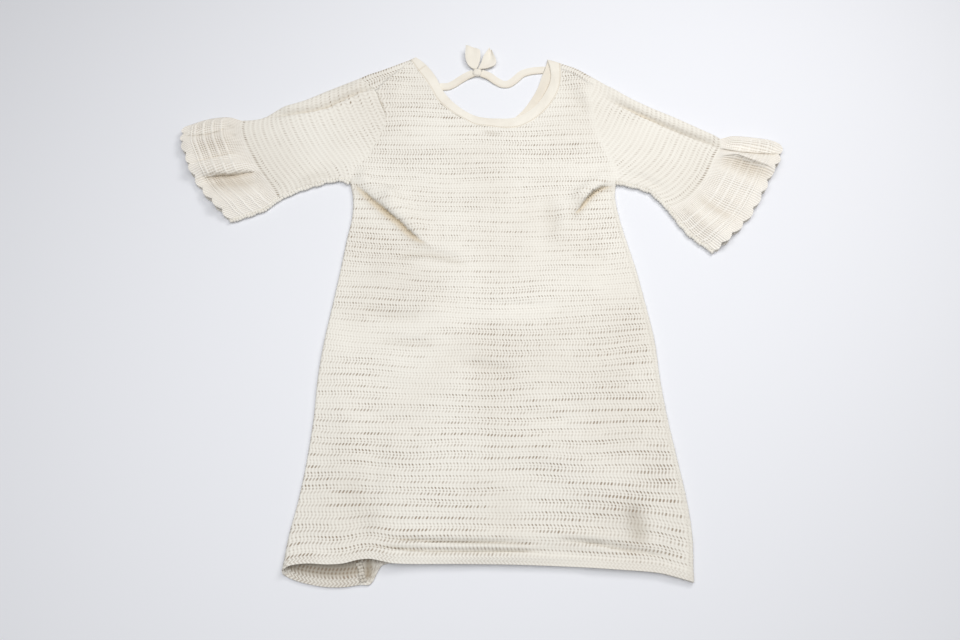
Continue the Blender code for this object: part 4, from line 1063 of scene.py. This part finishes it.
def sleevePiece(name, side, node):   # side is Left or Right
    cells, rows = bodyCut["armholeCells"], sleeveCut["rows"]
    start = smoothLine(bodyCut["armhole" + side], cells)[::-1]
    end = smoothLine(cuffCut["seam" + side], cells)
    upperEdge, lowerEdge = (smoothLine(sleeveCut[edge + side], rows) for edge in ("top", "under"))
    across, down = np.linspace(0, 1, cells + 1), np.linspace(0, 1, rows + 1)
    plan = betweenSeams(start, end, upperEdge, lowerEdge, across, down)

    def knit(plan):
        fromCuff = columnLengths(plan)
        u = np.broadcast_to(np.linspace(0, sleeveCut["wales"], plan.shape[1]), fromCuff.shape)
        toArmhole = fromCuff[:1] - fromCuff
        openness = np.clip(toArmhole / 2.0 - 0.2, 0, 1) * (0.85 + 2.3 * np.exp(-(fromCuff / 9)**2))
        openness = moreOpen(openness, plan[..., 0], plan[..., 1], sleeveCut["openSpots"])
        return np.dstack([u, fromCuff / sleeveCut["repeat"] + 0.74, openness])

    def crest(x, y, coords):
        lift = creaseLift(x, y, sleeveCut["creases"]) + softUneven(x, y, sleeveCut["uneven"])
        relief = -sleeveCut["relief"] * np.cos(4 * np.pi * coords[..., 1])
        fromEdges = np.clip(np.minimum(nearLine(x, y, upperEdge)[0], nearLine(x, y, lowerEdge)[0]) / 6, 0, 1)
        fromSeams = np.clip(np.minimum(nearLine(x, y, start)[0], nearLine(x, y, end)[0]) / 10, 0, 1)
        return upperHeight(x, y) + fromEdges * fromSeams * (lift + relief)

    return tubePiece(name, side, node, plan, crest, knit, sleeveLace, sleeveCut)


def cuffPiece(name, side, node):
    cut = cuffCut
    topEdge, underEdge, scallops = (cut[edge + side] for edge in ("top", "under", "scallops"))
    outline = smoothLine([topEdge[-1], *scallops, underEdge[-1]], 600)
    tips = [int(np.argmin(np.hypot(*(outline - tip).T))) / 600 for tip in scallops]
    count = len(scallops)
    across = np.linspace(0, 1, count * cut["cellsPerScallop"] + 1)
    phase = np.interp(across, [0, *tips, 1], [0, *(np.arange(count) + 0.5), count])
    lobes = cut["scallopDepth"] * (np.abs(np.sin(np.pi * phase))**0.9 - 1)
    steps = np.concatenate([np.linspace(0, 0.8, cut["rows"] - 10), np.linspace(0.8, 1, 11)[1:]])
    start = alongLine(smoothLine(cut["seam" + side], bodyCut["armholeCells"]), across)
    upperEdge, lowerEdge = (alongLine(smoothLine(edge, 120), steps) for edge in (topEdge, underEdge))
    plan = betweenSeams(start, alongLine(outline, across), upperEdge, lowerEdge, across, steps)
    outward = plan[-1] - plan[-3]
    outward = outward / np.hypot(outward[:, 0], outward[:, 1])[:, None] * lobes[:, None]
    reach = np.clip((steps - 0.84) / 0.16, 0, 1)[:, None, None]
    plan = plan + outward * reach

    def knit(plan):
        fromEdge = columnLengths(plan) + nearLine(plan[-1, :, 0], plan[-1, :, 1], outline[::8])[0]
        places = np.linspace(0, count * cut["ribsPerScallop"], plan.shape[1])
        openness = moreOpen(cut["openness"], plan[..., 0], plan[..., 1], cut["openSpots"])
        return np.dstack([np.broadcast_to(places, fromEdge.shape), fromEdge, openness])

    def crest(x, y, coords):
        fromSeam = np.clip(nearLine(x, y, start[::6])[0] / cut["length"], 0, 1)
        fromEdges = np.minimum(nearLine(x, y, upperEdge)[0], nearLine(x, y, lowerEdge)[0])
        swell = cut["swell"] * fromSeam * np.clip(fromEdges / cut["swellReach"], 0, 1)
        folds = foldLift(x, y, cut["folds"]) * np.clip(cut["foldStart"] + cut["foldGrowth"] * fromSeam, 0, 1)
        lift = creaseLift(x, y, cut["creases"]) * np.clip(fromEdges / 6, 0, 1)
        ribs = -cut["ribRise"] * np.cos(2 * np.pi * coords[..., 0])
        ridges = sum(cut["ridgeRise"] * np.exp(-((coords[..., 1] - place) / cut["ridgeHalf"])**2)
                     for place in flounceLook["crossRidges"])
        relief = (ribs + ridges) * np.clip(fromEdges / 4, 0, 1) * np.clip(fromSeam * 8, 0, 1)
        return upperHeight(x, y) + swell + folds + lift * np.clip(fromSeam * 5, 0, 1) + relief

    return tubePiece(name, side, node, plan, crest, knit, flounceRib, cut)


sleeveLeft = sleevePiece("sleeveLeft", "Left", "sleeve_left")
sleeveRight = sleevePiece("sleeveRight", "Right", "sleeve_right")
cuffLeft = cuffPiece("bellCuffLeft", "Left", "cuff_left")
cuffRight = cuffPiece("bellCuffRight", "Right", "cuff_right")
print("dress: sleeves and bell cuffs laid")


# Neck binding and tie

neckCut = {
    "holeFront": [
        (-80, 344), (-71, 337), (-62, 327), (-53, 313), (-46, 297), (-35, 282), (-20, 268.5), (-5, 260),
        (10, 257), (24, 256.5), (34, 256.5), (44, 258.5), (55, 264), (66, 273), (75, 285), (83, 300), (87, 315),
        (86, 329), (83, 341),
    ],
    "holeBack": [
        (-80, 343.5), (-73, 333), (-65, 318), (-57, 301), (-48, 285), (-36, 270), (-20, 258), (0, 251.5),
        (18, 250.5), (36, 255), (50, 267), (61, 282.5), (70, 299.5), (76, 317), (81, 331), (83.5, 341),
    ],
    "joint": [([(-79, 321), (-76, 323), (-69, 329), (-65, 332)], 0.45, 0.9, 0.9)],
    "crown": 0.7, "dip": 1.2, "rim": 2.7, "wall": 2.2, "cells": 180, "across": 12, "seamGap": 0.1,
    # painted shade over all of the back binding, seen inside the neck
    "wrinkles": (0.45, 0.3), "backShade": 0.22,
}
tieCut = {
    "wall": 1.8, "width": 9.5, "knotRise": 2.4, "knotApproach": 0.6,
    "strapLeft": [(-54, 302.3), (-47, 303), (-39, 303.5), (-32, 307), (-24, 313), (-16, 318), (-8.2, 321)],
    "strapRight": [
        (1.8, 321), (11, 317.5), (19, 311.5), (27, 307), (35, 307), (43, 313), (52, 321.5), (64, 325.5),
        (77.4, 327),
    ],
    "knotMiddle": (-3.4, 321.6, 3.6), "knotHalf": (5.9, 4.9, 3.4), "knotTurns": 40, "knotRings": 22,
    "knotGrooves": (0.35, -0.42),   # where the band's edges cross the knot
    "tailLeft": ([(-8.2, 326.8), (-14.5, 332), (-18, 342), (-17.5, 357)],
                 [(-3.9, 326.85), (-0.9, 334), (0.6, 342), (0.0, 350)]),
    "tailRight": ([(-2.6, 326.85), (1.2, 334), (5, 344), (11.5, 353.5)],
                  [(1.0, 326.5), (10, 327.5), (20, 333.5), (14.5, 350)]),
    "tailBase": 3.6, "tailTip": 9.0, "tailCurl": 1.6, "tailWave": 0.8, "crown": 0.3,
    # painted shade: the straps darker toward their lower edge, the tails at their base by the knot
    "strapShade": (0.05, 0.24), "tailShade": 0.18,
}


def stripPiece(name, left, right, cells, height, material, node, wall, closedEnds=False, tint=None):
    shares = np.linspace(0, 1, cells + 1)[None, :, None]
    sheet = flatSheet(left[:, None] * (1 - shares) + right[:, None] * shares)
    if closedEnds:
        sheet = turned(roundSides(turned(sheet)))
    plan, rise, lean = sheet
    along = pathLength(plan.mean(axis=1))
    width = np.sqrt(((plan[:, -1] - plan[:, 0])**2).sum(-1))
    share = np.broadcast_to(np.linspace(0, 1, plan.shape[1]), rise.shape)
    place = np.broadcast_to(along[:, None], rise.shape)
    knit = np.dstack([place, share * width[:, None], share])
    points = np.dstack([plan, height(plan, rise, share, place / along[-1])])
    shade = 0.0 if tint is None else tint(plan[..., 0], plan[..., 1], share, place / along[-1])
    return clothPiece(name, points, upright(lean), gridFaces(*rise.shape), material,
                      [node], knit, shade, wall / 2)


def frontBindingHeight(plan, rise, share, place):
    crest = upperHeight(plan[..., 0], plan[..., 1]) + neckCut["crown"] * (1 - (2 * share - 1)**2)
    crest = crest - neckCut["dip"] * (1 - share)
    long, short = neckCut["wrinkles"]
    wrinkles = long * np.sin(place * 41) * np.sin(place * 17 + 1) + short * np.sin(place * 67 + 9 * share)
    crest += wrinkles * share
    return neckCut["rim"] + (crest - neckCut["rim"]) * rise


def backBindingHeight(plan, rise, share, place):
    return np.full(rise.shape, neckCut["wall"] / 2) + 0.2 * np.sin(np.pi * share)


def bindingPiece(name, hole, neck, height, node, closedEnds, tint):
    cells = neckCut["cells"]
    inner, outer = smoothLine(neckCut[hole], cells), smoothLine(bodyCut[neck], cells)
    return stripPiece(name, inner, sideways(outer, neckCut["seamGap"]), neckCut["across"], height,
                      bindingJersey, node, neckCut["wall"], closedEnds, tint)


bindingFront = bindingPiece("neckBindingFront", "holeFront", "neckFront", frontBindingHeight,
                            "neck_binding_front", True, lambda x, y, *_: warmTint(x, y, neckCut["joint"]))
bindingBack = bindingPiece("neckBindingBack", "holeBack", "neckBack", backBindingHeight,
                           "neck_binding_back", False, lambda x, *_: neckCut["backShade"] + 0 * x)


def bindingHole(y, side):
    line = smoothLine(neckCut["holeBack"], neckCut["cells"])
    lowest = int(np.argmin(line[:, 1]))
    part = line[:lowest + 1][::-1] if side < 0 else line[lowest:]
    return np.interp(y, part[:, 1], part[:, 0])


def strapPiece(name, points, side, node):
    cut = tieCut
    middle = smoothLine(points, 48)
    upper, lower = sideways(middle, cut["width"] / 2), sideways(middle, -cut["width"] / 2)
    root = 0 if side < 0 else -1
    for edge in (upper, lower):
        edge[root, 0] = bindingHole(edge[root, 1], side) - side * clothSizes["seamGap"] * 1.5

    def height(plan, rise, share, place):
        toKnot = place if side < 0 else 1 - place
        climb = np.clip((toKnot - cut["knotApproach"]) / (1 - cut["knotApproach"]), 0, 1)
        return cut["wall"] / 2 + cut["knotRise"] * climb**2 + cut["crown"] * np.sin(np.pi * share) * (1 - climb)

    least, more = cut["strapShade"]
    return stripPiece(name, upper, lower, 8, height, tieJersey, node, cut["wall"],
                      tint=lambda x, y, share, place: least + more * np.clip((share - 0.62) / 0.38, 0, 1))


def tailPiece(name, edges, bow, node):
    cut = tieCut

    def height(plan, rise, share, place):
        climb = cut["tailBase"] + (cut["tailTip"] - cut["tailBase"]) * place
        wave = cut["tailWave"] * np.sin(2.6 * np.pi * share + 0.6)
        return climb + bow * np.sin(np.pi * share) * place + wave * place

    return stripPiece(name, smoothLine(edges[0], 28), smoothLine(edges[1], 28), 12, height, tieJersey, node,
                      cut["wall"], tint=lambda x, y, share, place: cut["tailShade"] * np.exp(-place / 0.12))


def knotPiece():
    cut = tieCut
    turns, rings = cut["knotTurns"], cut["knotRings"]
    points = []
    for ring in range(1, rings):
        lean = np.pi * ring / rings - np.pi / 2
        for turn in range(turns):
            angle = 2 * np.pi * turn / turns
            around = 1 - 0.07 * np.cos(2 * angle + 0.6)
            wrap = 1 - sum(0.05 * np.exp(-((np.sin(angle) * np.cos(lean) - groove) / 0.10)**2)
                           for groove in cut["knotGrooves"])
            radius = np.cos(lean)**0.7
            square = (abs(np.cos(angle))**3 + abs(np.sin(angle))**3)**(-1 / 3)
            points.append([radius * np.cos(angle) * around * wrap * square, radius * np.sin(angle) * square,
                           np.sin(lean) * wrap])
    points += [[0, 0, -1], [0, 0, 1]]
    points = np.array(points) * cut["knotHalf"] + cut["knotMiddle"]
    knit = np.column_stack([points[:, 0], points[:, 1], 0 * points[:, 0]])
    return addPiece("tieKnot", points, ballFaces(rings, turns), tieJersey, ["tie_knot"], knit,
                    np.zeros(len(points)))


strapLeft = strapPiece("tieStrapLeft", tieCut["strapLeft"], -1, "tie_strap_left")
strapRight = strapPiece("tieStrapRight", tieCut["strapRight"], 1, "tie_strap_right")
tailLeft = tailPiece("tieTailLeft", tieCut["tailLeft"], tieCut["tailCurl"], "tie_tail_left")
tailRight = tailPiece("tieTailRight", tieCut["tailRight"], -tieCut["tailCurl"], "tie_tail_right")
tieKnot = knotPiece()
print("dress: neck binding and tie laid")


# Rolled, knobbly seams

seamCut = {
    "turns": 8, "rings": 6,   # faces of a knob
    "sleeveKnob": (2.6, 2.1, 2.0), "cuffKnob": (2.4, 2.0, 1.9),   # half sizes along, across and up
    "edgeIn": 1.3,   # how far in from the right side the outer row runs
    "mouth": [(-125, -266), (-122.5, -272), (-120.5, -279), (-118.6, -286)],
}


def knobSeam(name, line, heights, size, pitch, lean=35.0, rows=1, yarn=rolledYarn):   # slanting squat stitches
    total = pathLength(line)
    count = int(total[-1] / pitch)
    places = (np.arange(count) + 0.5) * total[-1] / count
    where = np.column_stack([np.interp(places, total, axis) for axis in line.T])
    ahead = np.gradient(where, axis=0)
    heading = np.arctan2(ahead[:, 1], ahead[:, 0])
    base = np.interp(places / total[-1], np.linspace(0, 1, len(heights)), heights)
    turns, rings = seamCut["turns"], seamCut["rings"]
    rises, around = np.linspace(-np.pi / 2, np.pi / 2, rings + 1)[1:-1], np.arange(turns) * 2 * np.pi / turns
    ball = [(math.cos(a) * math.cos(b), math.sin(a) * math.cos(b), math.sin(b)) for b in rises for a in around]
    ball = np.array(ball + [(0, 0, -1), (0, 0, 1)])
    knobFaces = ballFaces(rings, turns)
    points, faces = [], []
    for row in range(rows):
        for index, (spot, angle, z) in enumerate(zip(where, heading, base)):
            grow = 1 + 0.20 * math.sin(index * 2.3 + row * 1.7) * math.sin(index * 0.61)
            slant = angle + math.radians(lean * (1 if row % 2 == 0 else -1) + 12 * math.sin(index * 1.9))
            knob = ball * np.array(size) * grow
            side = ((row - (rows - 1) / 2) * 1.35 + 0.25 * math.sin(index * 1.31 + row)) * size[1]
            x = knob[:, 0] * math.cos(slant) - knob[:, 1] * math.sin(slant) - side * math.sin(angle)
            y = knob[:, 0] * math.sin(slant) + knob[:, 1] * math.cos(slant) + side * math.cos(angle)
            start = len(points) * len(ball)
            points.append(np.column_stack([spot[0] + x, spot[1] + y, z + knob[:, 2]]))
            faces += [tuple(corner + start for corner in face) for face in knobFaces]
    return addPiece(name, np.vstack(points), faces, yarn)


def sideRow(inset, rise, first):   # a row along the right side, and how high it lies
    line = sideways(bodySides()[1], inset)[first:-3]
    return line, (upperHeight(line[:, 0], line[:, 1]) + rise)[::6]


chainLine, chainHeights = sideRow(bodyCut["chainIn"], 1.05, 4)
edgeLine, edgeHeights = sideRow(seamCut["edgeIn"], -0.35, 3)
sleeveKnob, cuffKnob, cuffHeights = seamCut["sleeveKnob"], seamCut["cuffKnob"], [3.7, 3.7, 3.7]
knobSeam("sleeveSeamLeft", sideways(smoothLine(sleeveCut["underLeft"], 60), 0.1), [4.2, 3.8, 3.6],
         sleeveKnob, 3.5, rows=2)
knobSeam("sleeveSeamRight", sideways(smoothLine(sleeveCut["underRight"], 60), -0.1)[::-1], [3.8, 3.6, 4.2],
         sleeveKnob, 3.5, rows=2)
knobSeam("cuffSeamLeft", smoothLine(cuffCut["underLeft"], 40), cuffHeights, cuffKnob, 3.3, rows=2)
knobSeam("cuffSeamRight", smoothLine(cuffCut["underRight"], 40)[::-1], cuffHeights, cuffKnob, 3.3, rows=2)
knobSeam("sideSeamRight", chainLine, chainHeights, (1.25, 0.55, 0.5), 2.9, lean=24.0)
knobSeam("sideEdgeRight", edgeLine, edgeHeights, (1.45, 1.0, 0.9), 3.4, lean=30.0)
knobSeam("hemMouthSeam", smoothLine(seamCut["mouth"], 20), [3.4, 3.2, 3.0, 2.8], (2.1, 2.1, 2.1), 3.5,
         lean=30.0, rows=2, yarn=mouthYarn)
print("dress: seams worked")


# Cloth facts: flat cut of each sheet

sheetCuts = [   # piece, width, length and area of the flat cut in metres, how it is held, what it lies on
    (frontBody, 0.470, 0.630, 0.232, "laid", ["back_panel"]),
    (backBody, 0.345, 0.630, 0.178, "laid", []),
    (sleeveLeft, 0.290, 0.120, None, "laid", []),
    (sleeveRight, 0.290, 0.120, None, "laid", []),
    (cuffLeft, 0.300, 0.070, None, "gathered", []),
    (cuffRight, 0.300, 0.070, None, "gathered", []),
    (bindingFront, 0.012, 0.300, None, "laid", ["back_panel"]),
    (bindingBack, 0.012, 0.300, None, "laid", []),
    (strapLeft, 0.0105, 0.050, None, "laid", []),
    (strapRight, 0.0105, 0.085, None, "laid", []),
    (tailLeft, 0.012, 0.034, None, "folded", ["tie_knot"]),
    (tailRight, 0.012, 0.034, None, "folded", ["tie_knot"]),
]
for piece, width, length, area, held, under in sheetCuts:
    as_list(under)


# Floor, light and camera

stageLook = {
    "floor": (0.80, 0.81, 0.845), "size": 6.0, "drop": -0.0004,
    "sky": (1.0, 0.985, 0.975), "skyStrength": 0.25,
    "lens": 37.5, "sensor": 36.0, "camera": (0, -0.3833, 1.053), "tilt": 20,
    "key": {"place": (0.48, 0.50, 0.92), "size": 0.5, "power": 4.6, "colour": (1.0, 0.99, 0.98)},
    "fill": {"place": (-0.10, -0.10, 1.3), "size": 1.2, "power": 12.3, "colour": (0.975, 0.985, 1.0)},
}


def layFloor():
    half = stageLook["size"] / 2
    mesh = bpy.data.meshes.new("floor")
    z = stageLook["drop"]
    corners = [(-half, -half, z), (half, -half, z), (half, half, z), (-half, half, z)]
    mesh.from_pydata(corners, [], [(0, 1, 2, 3)])
    material = bpy.data.materials.new("paleFloor")
    material.use_nodes = True
    shader = material.node_tree.nodes["Principled BSDF"]
    shader.inputs["Base Color"].default_value = (*stageLook["floor"], 1)
    shader.inputs["Roughness"].default_value = 0.85
    shader.inputs["Specular IOR Level"].default_value = 0.1
    mesh.materials.append(material)
    floor = bpy.data.objects.new("floor", mesh)
    bpy.context.collection.objects.link(floor)


def hangLamp(name, lamp):
    light = bpy.data.lights.new(name, "AREA")
    light.shape, light.size, light.energy, light.color = "DISK", lamp["size"], lamp["power"], lamp["colour"]
    held = bpy.data.objects.new(name, light)
    held.location = lamp["place"]
    x, y, z = lamp["place"]   # it faces the origin
    held.rotation_euler = (math.acos(z / math.hypot(x, y, z)), 0, math.atan2(y, x) + math.pi / 2)
    bpy.context.collection.objects.link(held)


def setCamera():
    lens = bpy.data.cameras.new("overheadCamera")
    lens.lens, lens.sensor_width = stageLook["lens"], stageLook["sensor"]
    camera = bpy.data.objects.new("overheadCamera", lens)
    camera.location = stageLook["camera"]
    camera.rotation_euler = (math.radians(stageLook["tilt"]), 0, 0)
    bpy.context.collection.objects.link(camera)
    bpy.context.scene.camera = camera


layFloor()
hangLamp("keyLight", stageLook["key"])
hangLamp("fillLight", stageLook["fill"])
world = bpy.data.worlds.new("studioSky")
bpy.context.scene.world = world
world.use_nodes = True
background = world.node_tree.nodes["Background"].inputs
background["Color"].default_value = (*stageLook["sky"], 1)
background["Strength"].default_value = stageLook["skyStrength"]
bpy.context.scene.view_settings.view_transform = "Standard"
setCamera()
print("dress: floor, light and camera set")
